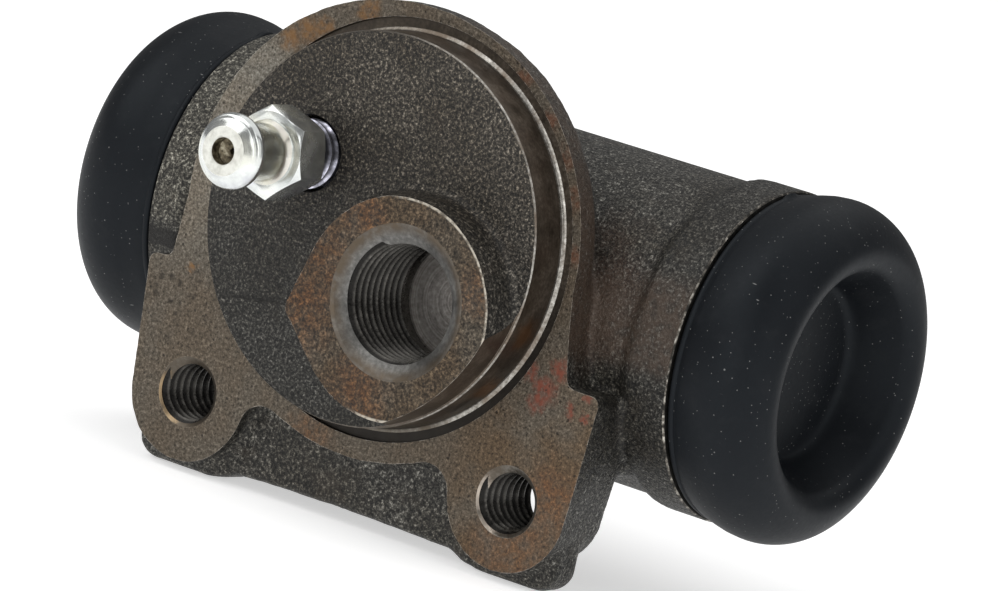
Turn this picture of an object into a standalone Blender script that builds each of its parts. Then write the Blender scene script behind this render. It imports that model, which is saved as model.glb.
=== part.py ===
"""Drum-brake wheel cylinder: a cast iron housing with two opposed pistons.

Frame: +X along the barrel towards the right boot, -Y out of the mounting face,
+Z up. The origin is midway between the two tapped ear holes, on the mounting face.
All driving sizes are in millimetres and are turned into metres by mm().
"""
import math

import bmesh
import bpy
from mathutils import Matrix, Vector

# ---- driving dimensions (mm) ------------------------------------------------
EAR_X = 17.0          # half the spacing of the two M6 holes
EAR_R = 6.1           # radius of the machined ear round its hole
EAR_HOLE_R = 3.0      # M6, drawn plain at its nominal radius
SPIGOT_Z = 19.0       # height of the spigot centre above the ear holes
SPIGOT_R = 16.8       # turned register that enters the backing plate
SPIGOT_H = 3.7        # how far the spigot stands out of the face
GROOVE_R = 18.0       # outer radius of the seal groove round the spigot
GROOVE_D = 0.4
FLANGE_R = 18.85      # the flange's cast rim, on its right and at the top
FLANGE_SWELL = 2.6    # how much further out it runs on its left
FLANGE_T = 3.6
PAD_ARC_R = 19.9      # lower edge of the machined face between the ears
SHOULDER_Z = 10.8     # top of the ears' shoulders
LUG_T = 7.4           # thickness of the ears
LUG_DRAFT = 0.8       # how much smaller an ear is at its back
PASSAGE_X = 2.0       # the drilling to the bore is off the port's centre by this
FOOT_Z = -6.8         # underside of the rough feet behind the ears
WEB_Z = -5.6          # underside of the web between the feet
BARREL_Y = 17.15      # barrel axis behind the mounting face
BARREL_Z = 15.35
BARREL_R = 13.9
COLLAR_R = 14.55
COLLAR_X0 = 23.8
END_X = 27.95         # end face of each collar
LEFT_SHORT = 1.05      # the casting is this much shorter on its left; the boot's bead is longer there
NECK_R = 12.1         # neck that the boot grips
NECK_GROOVE_R = 11.4
NECK_X = 32.6         # open end of the bore
BORE_R = 10.32        # 20.64 mm (13/16 in) bore
PORT_X, PORT_Z = 6.35, 14.35
PORT_R = 5.0          # inlet thread, drawn plain
PORT_CSK_R = 6.45
PORT_FACE_Y = -6.9
PORT_FLOOR_Y = 2.6
BOSS_X, BOSS_Z, BOSS_R = 6.2, 13.7, 9.35
BOSS_TIP = (-4.6, 11.0)
BLEED_X, BLEED_Z = -7.6, 23.6
BLEED_TIP_Y = -16.2
BLEED_R = 3.0         # M6 bleed screw
HEX_Y0, HEX_Y1 = -9.9, -6.3
PISTON_R = 10.02
ROLL_X, ROLL_RC, ROLL_R = 32.1, 10.13, 4.89   # the boot's roll, in section
LIP_R, LIP_A0, LIP_A1 = 2.0, 65, 155          # the rounded lip that ends it
GAP = 0.3

DETAIL = 56           # steps round the barrel
COL = "wheel_cylinder"


def mm(v):
    return v * 0.001


# ---- helpers ----------------------------------------------------------------
for o in list(bpy.data.objects):
    bpy.data.objects.remove(o, do_unlink=True)

parts = bpy.data.collections.new(COL)
tools = bpy.data.collections.new("cutters")
bpy.context.scene.collection.children.link(parts)
bpy.context.scene.collection.children.link(tools)


def material(name, color, metallic, roughness):
    m = bpy.data.materials.new(name)
    m.use_nodes = True
    b = m.node_tree.nodes["Principled BSDF"]
    b.inputs["Base Color"].default_value = (*color, 1.0)
    b.inputs["Metallic"].default_value = metallic
    b.inputs["Roughness"].default_value = roughness
    return m


def place(ob, tool=False):
    for c in list(ob.users_collection):
        c.objects.unlink(ob)
    (tools if tool else parts).objects.link(ob)
    if tool:
        ob.hide_render = True
        ob.display_type = "WIRE"
    return ob


AXES = {
    "-Y": Matrix.Rotation(math.radians(90), 4, "X"),
    "+X": Matrix.Rotation(math.radians(90), 4, "Y"),
    "-X": Matrix.Rotation(math.radians(-90), 4, "Y"),
}


def turned(name, profile, axis, origin, steps, closed=False, tool=False):
    """A turned shape: profile is (radius, height along the axis), from the top down."""
    me = bpy.data.meshes.new(name)
    bm = bmesh.new()
    vs = [bm.verts.new((mm(r), 0.0, mm(h))) for r, h in profile]
    for a, b in zip(vs, vs[1:]):
        bm.edges.new((a, b))
    if closed:
        bm.edges.new((vs[-1], vs[0]))
    bm.to_mesh(me)
    bm.free()
    ob = bpy.data.objects.new(name, me)
    ob.matrix_world = Matrix.Translation([mm(v) for v in origin]) @ AXES[axis]
    place(ob, tool)
    s = ob.modifiers.new("turn", "SCREW")
    s.axis = "Z"
    s.angle = math.tau
    s.steps = s.render_steps = steps
    s.use_merge_vertices = True
    s.merge_threshold = 0.000005
    s.use_smooth_shade = True
    return ob


def outward(points):
    """Profile along -Y given as (radius, Y) from the outside in."""
    return [(r, -y) for r, y in points]


def along(points):
    """Profile along X given as (radius, distance) from the inside out."""
    return [(r, x) for r, x in reversed(points)]


def boolean(ob, other, op, solver="EXACT"):
    m = ob.modifiers.new(op.lower(), "BOOLEAN")
    m.operation = op
    m.object = other
    m.solver = solver
    return m


def bevel(ob, width, segments=2, angle=35):
    b = ob.modifiers.new("edges", "BEVEL")
    b.width = mm(width)
    b.segments = segments
    b.limit_method = "ANGLE"
    b.angle_limit = math.radians(angle)
    b.use_clamp_overlap = True
    return b


def cylinder(name, axis, origin, r, length, steps=48, tool=True):
    """A cylinder centred on origin."""
    bpy.ops.mesh.primitive_cylinder_add(vertices=steps, radius=mm(r), depth=mm(length))
    ob = bpy.context.active_object
    ob.name = name
    ob.matrix_world = Matrix.Translation([mm(v) for v in origin]) @ AXES[axis]
    return place(ob, tool)


def block(name, lo, hi, tool=True):
    bpy.ops.mesh.primitive_cube_add(size=1.0)
    ob = bpy.context.active_object
    ob.name = name
    size = [mm(b - a) for a, b in zip(lo, hi)]
    for v in ob.data.vertices:
        v.co = Vector([c * s for c, s in zip(v.co, size)])
    ob.location = [mm((a + b) / 2) for a, b in zip(lo, hi)]
    return place(ob, tool)


def prism(name, outline, y0, y1, tool=True, back=None):
    """A flat outline in X and Z, extruded from y0 to y1 and made a mesh.

    back, when given, is the outline that the y1 end gets, point for point."""
    cu = bpy.data.curves.new(name + "_curve", "CURVE")
    cu.dimensions = "2D"
    cu.fill_mode = "BOTH"
    cu.extrude = mm(abs(y1 - y0) / 2)
    sp = cu.splines.new("POLY")
    sp.points.add(len(outline) - 1)
    for p, (x, z) in zip(sp.points, outline):
        p.co = (mm(x), mm(z), 0.0, 1.0)
    sp.use_cyclic_u = True
    ob = bpy.data.objects.new(name + "_curve", cu)
    bpy.context.scene.collection.objects.link(ob)
    ob.matrix_world = Matrix.Translation((0, mm((y0 + y1) / 2), 0)) @ AXES["-Y"]
    bpy.context.view_layer.update()
    ev = ob.evaluated_get(bpy.context.evaluated_depsgraph_get())
    me = bpy.data.meshes.new_from_object(ev)
    bm = bmesh.new()
    bm.from_mesh(me)
    bmesh.ops.remove_doubles(bm, verts=bm.verts, dist=0.000001)
    for v in bm.verts if back else ():
        if v.co.z < 0:
            i = min(range(len(outline)), key=lambda k: math.dist(
                (mm(outline[k][0]), mm(outline[k][1])), (v.co.x, v.co.y)))
            v.co.x, v.co.y = mm(back[i][0]), mm(back[i][1])
    bmesh.ops.recalc_face_normals(bm, faces=bm.faces)
    bm.to_mesh(me)
    bm.free()
    out = bpy.data.objects.new(name, me)
    out.matrix_world = ob.matrix_world.copy()
    bpy.data.objects.remove(ob, do_unlink=True)
    return place(out, tool)


def arc(cx, cz, r, a0, a1, n):
    return [(cx + r * math.cos(math.radians(a0 + (a1 - a0) * i / n)),
             cz + r * math.sin(math.radians(a0 + (a1 - a0) * i / n))) for i in range(n + 1)]


def mirrored(right):
    """A closed outline from its right half, listed from the bottom up."""
    return right + [(-x, z) for x, z in reversed(right) if x > 1e-6]


def drafted(outline, depth):
    """The outline moved inwards by depth(z) at each of its points; it runs anticlockwise."""
    out = []
    for i, p in enumerate(outline):
        a, b = outline[i - 1], outline[(i + 1) % len(outline)]
        one, two = Vector((p[0] - a[0], p[1] - a[1])).normalized(), Vector((b[0] - p[0], b[1] - p[1])).normalized()
        n = Vector((-one.y - two.y, one.x + two.x)) / (1 + one.dot(two))
        d = depth(p[1])
        out.append((p[0] + n.x * d, p[1] + n.y * d))
    return out


def outside_tangent(c0, r0, c1, r1, r):
    """Centre of the circle of radius r that touches two circles from outside, lower side."""
    d = math.dist(c0, c1)
    a, b = r0 + r, r1 + r
    t = (a * a - b * b + d * d) / (2 * d)
    h = math.sqrt(max(a * a - t * t, 0.0))
    ux, uz = (c1[0] - c0[0]) / d, (c1[1] - c0[1]) / d
    px, pz = c0[0] + t * ux, c0[1] + t * uz
    one, two = (px + h * uz, pz - h * ux), (px - h * uz, pz + h * ux)
    return one if one[0] < two[0] else two


# ---- outlines of the machined face and the rough feet -----------------------
def pad_outline():
    rf = 2.3
    ring, ear = (0.0, SPIGOT_Z), (EAR_X, 0.0)
    c = outside_tangent(ring, PAD_ARC_R, ear, EAR_R, rf)
    a_ring = math.degrees(math.atan2(c[1] - ring[1], c[0] - ring[0]))
    a_ear = math.degrees(math.atan2(c[1] - ear[1], c[0] - ear[0])) % 360
    pts = arc(*ring, PAD_ARC_R, -90, a_ring, 8)
    pts += arc(*c, rf, a_ring + 180, a_ear - 180, 7)[1:]
    pts += arc(*ear, EAR_R, a_ear, 361, 20)[1:]
    right = [(23.75, SHOULDER_Z - 0.5), (23.3, SHOULDER_Z), (20.3, SHOULDER_Z),
             (19.6, 13.8), (18.9, 18.4), (16.5, 22.0), (9.0, 29.0)]
    left = [(24.0, SHOULDER_Z - 0.5), (23.6, SHOULDER_Z), (21.7, SHOULDER_Z),
            (21.55, 14.0), (21.3, 18.0), (18.0, 22.0), (9.0, 29.0)]
    return pts + right + [(-x, z) for x, z in reversed(pts + left) if x > 1e-6]


def flange_outline():
    """The cast rim: nearly a circle, but it swells out on the left."""
    def ease(t):
        t = min(max(t, 0.0), 1.0)
        return t * t * (3 - 2 * t)

    pts = []
    for a in range(-90, 270, 5):
        k = ease((a - 70) / 115) if a < 200 else 1 - ease((a - 200) / 40)
        r = FLANGE_R + FLANGE_SWELL * k
        pts.append((r * math.cos(math.radians(a)), SPIGOT_Z + r * math.sin(math.radians(a))))
    return pts


def foot_outline():
    x1 = 22.2
    pts = [(0.0, WEB_Z), (11.4, WEB_Z - 0.25), (12.7, WEB_Z - 0.9), (14.6, FOOT_Z)]
    pts += arc(x1 - 2.0, FOOT_Z + 2.0, 2.0, -90, 0, 4)
    pts += [(x1, SHOULDER_Z - 0.4), (19.6, SHOULDER_Z - 0.4), (15.0, 15.0), (9.0, 20.0)]
    return mirrored(pts)


def boss_outline():
    """A round boss drawn out to one corner on its left, by two tangents."""
    c, tip, r = (BOSS_X, BOSS_Z), BOSS_TIP, BOSS_R
    d = math.dist(c, tip)
    mid = math.degrees(math.atan2(tip[1] - c[1], tip[0] - c[0]))
    half = math.degrees(math.acos(r / d))
    pts = arc(*c, r, mid + half, mid + 360 - half, 40)
    tr = 0.8
    k = 1 - tr / d
    tc = (c[0] + (tip[0] - c[0]) * k, c[1] + (tip[1] - c[1]) * k)
    return pts + arc(tc[0], tc[1], tr * 0.6, mid - half, mid + half, 3)


# ---- housing: one casting, then machined ------------------------------------
def housing():
    disc = turned("housing", outward([
        (0, -SPIGOT_H), (SPIGOT_R + 0.5, -SPIGOT_H), (SPIGOT_R + 0.7, 0.0), (SPIGOT_R, 2.6), (0, 2.6)]),
        "-Y", (0, 0, SPIGOT_Z), 72)
    rim = prism("cast_flange", flange_outline(), -3.0, FLANGE_T)
    bevel(rim, 1.9, 2, 50)

    hub = cylinder("cast_hub", "-Y", (0, 6.0, SPIGOT_Z), 13.4, 9.0, 48)
    bevel(hub, 0.8)
    nip = cylinder("cast_bleed_boss", "-Y", (BLEED_X, 7.0, BLEED_Z), 6.3, 10.0, 32)
    bevel(nip, 0.8)

    front = pad_outline()
    back = drafted(front, lambda z: LUG_DRAFT - (LUG_DRAFT - 0.2) * min(max((z - 3.0) / 5.0, 0.0), 1.0))
    pad = prism("cast_pad", front, -1.2, LUG_T, back=back)
    bevel(pad, 0.75, 2, 50)
    foot = prism("cast_feet", foot_outline(), 1.3, 5.3)
    bevel(foot, 1.0, 2, 50)
    gusset = block("cast_gusset", (-22.83, 4.67, 3.37), (22.83, 15.03, SHOULDER_Z + 0.57))
    bevel(gusset, 1.4, 3)

    x, e = END_X, 0.35
    left = x - LEFT_SHORT
    barrel = turned("cast_barrel", along([
        (0, -NECK_X), (NECK_R - 0.5, -NECK_X), (NECK_R, -NECK_X + 0.5), (NECK_R, -30.7),
        (NECK_GROOVE_R, -30.7), (NECK_GROOVE_R, -left), (COLLAR_R - e, -left), (COLLAR_R, -left + e),
        (COLLAR_R, -COLLAR_X0), (BARREL_R, -COLLAR_X0 + 0.9),
        (BARREL_R, COLLAR_X0 - 0.9), (COLLAR_R, COLLAR_X0),
        (COLLAR_R, x - e), (COLLAR_R - e, x), (NECK_GROOVE_R, x), (NECK_GROOVE_R, 30.7),
        (NECK_R, 30.7), (NECK_R, NECK_X - 0.5), (NECK_R - 0.5, NECK_X), (0, NECK_X)]),
        "+X", (0, BARREL_Y, BARREL_Z), DETAIL, tool=True)

    boss = prism("cast_port_boss", boss_outline(), PORT_FACE_Y, 1.0)
    for v in boss.data.vertices:            # drafted sides: the foot is a little larger
        if v.co.z < 0:
            k = 1.13
            v.co.x = mm(BOSS_X) + (v.co.x - mm(BOSS_X)) * k
            v.co.y = mm(BOSS_Z) + (v.co.y - mm(BOSS_Z)) * k

    solver = "MANIFOLD"      # EXACT drops the feet when the pad is joined
    for o in (rim, hub, nip, barrel, gusset, foot, pad, boss):
        boolean(disc, o, "UNION", solver)

    # facing cut: mounting face, seal groove and the turned side of the spigot
    g = GROOVE_D
    face = turned("cut_face", outward([
        (SPIGOT_R - 0.3, -9.0), (60.0, -9.0), (60.0, 0.0), (GROOVE_R, 0.0), (GROOVE_R - 0.05, g),
        (SPIGOT_R + 0.35, g), (SPIGOT_R, g - 0.3), (SPIGOT_R - 0.05, -SPIGOT_H + 0.25),
        (SPIGOT_R - 0.3, -SPIGOT_H)]), "-Y", (0, 0, SPIGOT_Z), 72, closed=True, tool=True)
    boolean(disc, face, "DIFFERENCE", solver)

    bore = turned("cut_bore", along([
        (0, -NECK_X - 0.5), (BORE_R + 1.2, -NECK_X - 0.5), (BORE_R, -NECK_X + 0.7),
        (BORE_R, NECK_X - 0.7), (BORE_R + 1.2, NECK_X + 0.5), (0, NECK_X + 0.5)]),
        "+X", (0, BARREL_Y, BARREL_Z), 50, tool=True)
    boolean(disc, bore, "DIFFERENCE", solver)

    y = PORT_FACE_Y
    port = turned("cut_port", outward([
        (0, y - 0.4), (PORT_CSK_R + 0.6, y - 0.4), (PORT_R, y + 0.95), (PORT_R, PORT_FLOOR_Y),
        (0, PORT_FLOOR_Y)]), "-Y", (PORT_X, 0, PORT_Z), 48, tool=True)
    boolean(disc, port, "DIFFERENCE", solver)
    passage = cylinder("cut_passage", "-Y", (PORT_X + PASSAGE_X, (PORT_FLOOR_Y - 0.6 + 10.5) / 2, PORT_Z), 1.3,
                       10.5 - PORT_FLOOR_Y + 0.6, 16)
    boolean(disc, passage, "DIFFERENCE", solver)

    bleed = turned("cut_bleed", outward([
        (0, -SPIGOT_H - 0.4), (3.8, -SPIGOT_H - 0.4), (3.35, -SPIGOT_H + 0.05), (3.35, 5.8), (2.7, 6.2),
        (1.25, 8.2), (1.25, 15.0), (0, 15.0)]), "-Y", (BLEED_X, 0, BLEED_Z), 32, tool=True)
    boolean(disc, bleed, "DIFFERENCE", solver)

    for side, x0 in (("left", -EAR_X), ("right", EAR_X)):
        h = turned("cut_ear_" + side, outward([
            (0, -0.4), (EAR_HOLE_R + 0.65, -0.4), (EAR_HOLE_R, 0.25), (EAR_HOLE_R, 9.5), (0, 9.5)]),
            "-Y", (x0, 0, 0), 32, tool=True)
        boolean(disc, h, "DIFFERENCE", solver)
    return disc


# ---- bleed screw ------------------------------------------------------------
def bleed_screw():
    t = BLEED_TIP_Y
    org = (BLEED_X, 0, BLEED_Z)
    body = turned("bleed_screw", outward([
        (0, t), (1.95, t), (2.15, t + 0.15), (2.75, t + 0.65), (2.95, t + 0.75), (3.2, t + 1.15),
        (3.25, t + 1.35), (3.2, t + 1.75), (2.45, t + 2.3), (2.4, t + 2.6), (2.4, HEX_Y0 - 0.6),
        (2.75, HEX_Y0 - 0.2), (2.75, HEX_Y1 - 0.3), (2.6, HEX_Y1), (BLEED_R, HEX_Y1 + 0.4), (BLEED_R, 4.8),
        (2.3, 5.1), (2.3, 5.8), (0.9, 7.8), (0, 7.8)]), "-Y", org, 28)
    hexa = cylinder("hex_blank", "-Y", (BLEED_X, (HEX_Y0 + HEX_Y1) / 2, BLEED_Z), 3.5 / math.cos(math.pi / 6),
                    HEX_Y1 - HEX_Y0, 6)
    hexa.matrix_world = hexa.matrix_world @ Matrix.Rotation(math.radians(10), 4, "Z")
    cone = turned("hex_chamfer", outward([
        (0, HEX_Y0 - 0.05), (3.42, HEX_Y0 - 0.05), (4.25, HEX_Y0 + 0.5), (4.25, HEX_Y1 - 0.45),
        (3.5, HEX_Y1 + 0.05), (0, HEX_Y1 + 0.05)]), "-Y", org, 32, tool=True)
    boolean(hexa, cone, "INTERSECT")
    boolean(body, hexa, "UNION")
    hole = cylinder("bleed_bore", "-Y", (BLEED_X, (t - 2 + 5.4) / 2, BLEED_Z), 1.15, 5.4 - t + 2, 20)
    boolean(body, hole, "DIFFERENCE")
    cross = cylinder("bleed_cross_bore", "+X", (BLEED_X, 4.4, BLEED_Z), 0.7, 12.0, 12)
    boolean(body, cross, "DIFFERENCE")
    return body


# ---- pieces in the barrel, one set each side --------------------------------
def piston(side, axis):
    return turned(side + "_piston", along([
        (0, 15.2), (9.5, 15.2), (PISTON_R, 15.7), (PISTON_R, 26.2), (9.6, 26.8), (8.0, 26.8), (8.0, 27.75),
        (7.25, 27.75), (7.25, 28.55), (8.0, 28.55), (8.0, 28.9), (7.7, 29.2), (0, 29.2)]),
        axis, (0, BARREL_Y, BARREL_Z), 36)


def cup_seal(side, axis):
    return turned(side + "_cup_seal", along([
        (0, 12.9), (7.4, 12.9), (8.0, 12.5), (8.9, 10.5), (9.6, 10.3), (PISTON_R, 10.6),
        (PISTON_R - 0.1, 12.5), (9.75, 14.4), (9.3, 14.8), (0, 14.8)]),
        axis, (0, BARREL_Y, BARREL_Z), 32)


def expander(side, axis):
    return turned(side + "_cup_expander", along([
        (0, 12.0), (3.5, 12.0), (3.7, 10.4), (4.4, 10.4), (4.6, 12.0), (6.5, 12.0), (7.9, 10.2), (8.35, 10.5),
        (6.9, 12.6), (0, 12.6)]),
        axis, (0, BARREL_Y, BARREL_Z), 24)


def boot(side, axis):
    """A hollow roll: outside it is an arc of ROLL_R, then a rounded lip and a steep dish with a flat floor."""
    def turn(r, x, radius, a):
        return r + radius * math.cos(math.radians(a)), x + radius * math.sin(math.radians(a))

    roll = [turn(ROLL_RC, ROLL_X, ROLL_R, -4 + (LIP_A0 + 4) * i / 7) for i in range(8)]
    c = turn(*roll[-1], -LIP_R, LIP_A0)
    lip = [turn(*c, LIP_R, LIP_A0 + (LIP_A1 - LIP_A0) * i / 5) for i in range(1, 6)]
    more = LEFT_SHORT if side == "left" else 0.0
    outer = [(11.7, 28.3 - more), (13.95, 28.3 - more), (14.25, 28.45 - more), (14.4, 28.8 - more), (14.55, 29.4),
             (14.75, 30.1), (14.95, 30.9)] + roll + lip + [(8.7, 33.75), (7.95, 32.05), (7.6, 31.65), (6.9, 31.5), (0, 31.5)]
    inner = [(0, 29.6), (8.3, 29.6), (8.3, 28.4), (7.6, 28.4), (7.6, 27.9), (9.2, 27.9), (9.3, 30.0), (9.6, 32.4),
             (10.6, 34.6), (11.4, 35.1), (12.2, 34.8), (13.2, 33.3), (13.5, 31.8),
             (13.1, 30.35), (11.7, 30.3)]
    # one open run: floor's outer face, round the roll to the bead, back inside to the floor
    return turned(side + "_dust_boot", list(reversed(outer)) + list(reversed(inner)),
                  axis, (0, BARREL_Y, BARREL_Z), 36)


def spring():
    cu = bpy.data.curves.new("cup_spring", "CURVE")
    cu.dimensions = "3D"
    cu.bevel_depth = mm(0.55)
    cu.bevel_resolution = 1
    cu.use_fill_caps = True
    turns, per, half, dead = 7.0, 14, 11.0, 0.75
    n = int(turns * per)
    sp = cu.splines.new("POLY")
    sp.points.add(n)
    pitch = 2 * (half - 1.15 * dead) / (turns - 2 * dead)
    for i, p in enumerate(sp.points):
        t = i / per
        if t < dead:
            x = -half + 1.15 * t
        elif t > turns - dead:
            x = half - 1.15 * (turns - t)
        else:
            x = -half + 1.15 * dead + pitch * (t - dead)
        a = math.tau * t
        p.co = (mm(x), mm(5.6 * math.cos(a)), mm(5.6 * math.sin(a)), 1.0)
    ob = bpy.data.objects.new("cup_spring", cu)
    ob.location = (0, mm(BARREL_Y), mm(BARREL_Z))
    return place(ob)


# ---- assemble ---------------------------------------------------------------
iron = material("cast_iron", (0.045, 0.040, 0.035), 0.6, 0.75)
zinc = material("zinc_plate", (0.62, 0.63, 0.64), 1.0, 0.28)
rubber = material("boot_rubber", (0.010, 0.011, 0.013), 0.0, 0.45)
seal = material("seal_rubber", (0.012, 0.012, 0.012), 0.0, 0.5)
alloy = material("piston_alloy", (0.55, 0.55, 0.56), 1.0, 0.35)
steel = material("spring_steel", (0.35, 0.35, 0.36), 1.0, 0.35)

made = {housing(): iron, bleed_screw(): zinc}
for side, axis in (("left", "-X"), ("right", "+X")):
    made[piston(side, axis)] = alloy
    made[cup_seal(side, axis)] = seal
    made[expander(side, axis)] = steel
    made[boot(side, axis)] = rubber
made[spring()] = steel

for ob, mat in made.items():
    ob.data.materials.clear()
    ob.data.materials.append(mat)

bpy.context.view_layer.update()
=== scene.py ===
"""Looks of the drum-brake wheel cylinder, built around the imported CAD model.

The housing is made as the real one is: a rough casting with soft fillets is
joined from simple solids, remeshed and given its sand skin, and then the
turned, drilled and tapped places are cut into it. Sizes are in millimetres
while the shapes are made, and each finished piece is scaled to metres.
Frame: +X along the barrel, -Y out of the mounting face, +Z up.
"""
import math

import bmesh
import bpy
import numpy as np
from mathutils import Matrix, Vector, noise


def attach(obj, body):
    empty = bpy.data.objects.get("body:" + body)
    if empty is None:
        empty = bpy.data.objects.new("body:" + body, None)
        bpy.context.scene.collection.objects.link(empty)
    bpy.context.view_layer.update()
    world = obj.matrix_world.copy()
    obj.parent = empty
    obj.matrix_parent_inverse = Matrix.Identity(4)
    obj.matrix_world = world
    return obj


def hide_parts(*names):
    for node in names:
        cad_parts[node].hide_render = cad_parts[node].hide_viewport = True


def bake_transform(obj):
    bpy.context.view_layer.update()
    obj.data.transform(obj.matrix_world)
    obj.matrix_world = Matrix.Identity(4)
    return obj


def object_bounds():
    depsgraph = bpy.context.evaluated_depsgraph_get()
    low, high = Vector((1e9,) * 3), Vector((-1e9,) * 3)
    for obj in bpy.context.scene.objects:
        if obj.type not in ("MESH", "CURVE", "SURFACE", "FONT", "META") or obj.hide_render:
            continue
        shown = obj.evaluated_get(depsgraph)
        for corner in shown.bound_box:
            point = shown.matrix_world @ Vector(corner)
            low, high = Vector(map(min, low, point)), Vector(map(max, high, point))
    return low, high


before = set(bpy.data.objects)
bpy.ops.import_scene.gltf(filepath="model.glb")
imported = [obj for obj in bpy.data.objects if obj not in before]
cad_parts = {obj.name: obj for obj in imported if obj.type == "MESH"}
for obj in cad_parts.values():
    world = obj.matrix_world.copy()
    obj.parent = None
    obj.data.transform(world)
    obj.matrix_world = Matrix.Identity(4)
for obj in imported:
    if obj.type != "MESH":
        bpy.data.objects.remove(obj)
CAD_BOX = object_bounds()
scene = bpy.context.scene

# ---- sizes (mm), the same as the CAD's --------------------------------------
EAR_X, EAR_R, EAR_HOLE_R = 17.0, 6.1, 3.0
SPIGOT_Z, SPIGOT_R, SPIGOT_H = 19.0, 16.8, 3.7
GROOVE_R, GROOVE_D = 18.0, 0.4
FLANGE_R, FLANGE_SWELL, FLANGE_T, PAD_ARC_R = 18.85, 2.6, 3.6, 19.9
SHOULDER_Z, LUG_T, FOOT_Z, WEB_Z = 10.8, 7.4, -6.8, -5.6
LUG_DRAFT, PASSAGE_X = 0.8, 2.0
BARREL_Y, BARREL_Z, BARREL_R = 17.15, 15.35, 13.9
COLLAR_R, COLLAR_X0, END_X, LEFT_SHORT = 14.55, 23.8, 27.95, 1.05
NECK_R, NECK_GROOVE_R, NECK_X, BORE_R = 12.1, 11.4, 32.6, 10.32
PORT_X, PORT_Z, PORT_R, PORT_CSK_R = 6.35, 14.35, 5.4, 6.45
PORT_FACE_Y, PORT_FLOOR_Y = -6.9, 2.6
BOSS_X, BOSS_Z, BOSS_R, BOSS_TIP = 6.2, 13.7, 9.35, (-4.6, 11.0)
BLEED_X, BLEED_Z, BLEED_TIP_Y = -7.6, 23.6, -16.2
BLEED_R, HEX_Y0, HEX_Y1 = 3.0, -9.9, -6.3
ROLL_X, ROLL_RC, ROLL_R = 32.1, 10.13, 4.89
LIP_R, LIP_A0, LIP_A1 = 2.0, 65, 155


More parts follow.
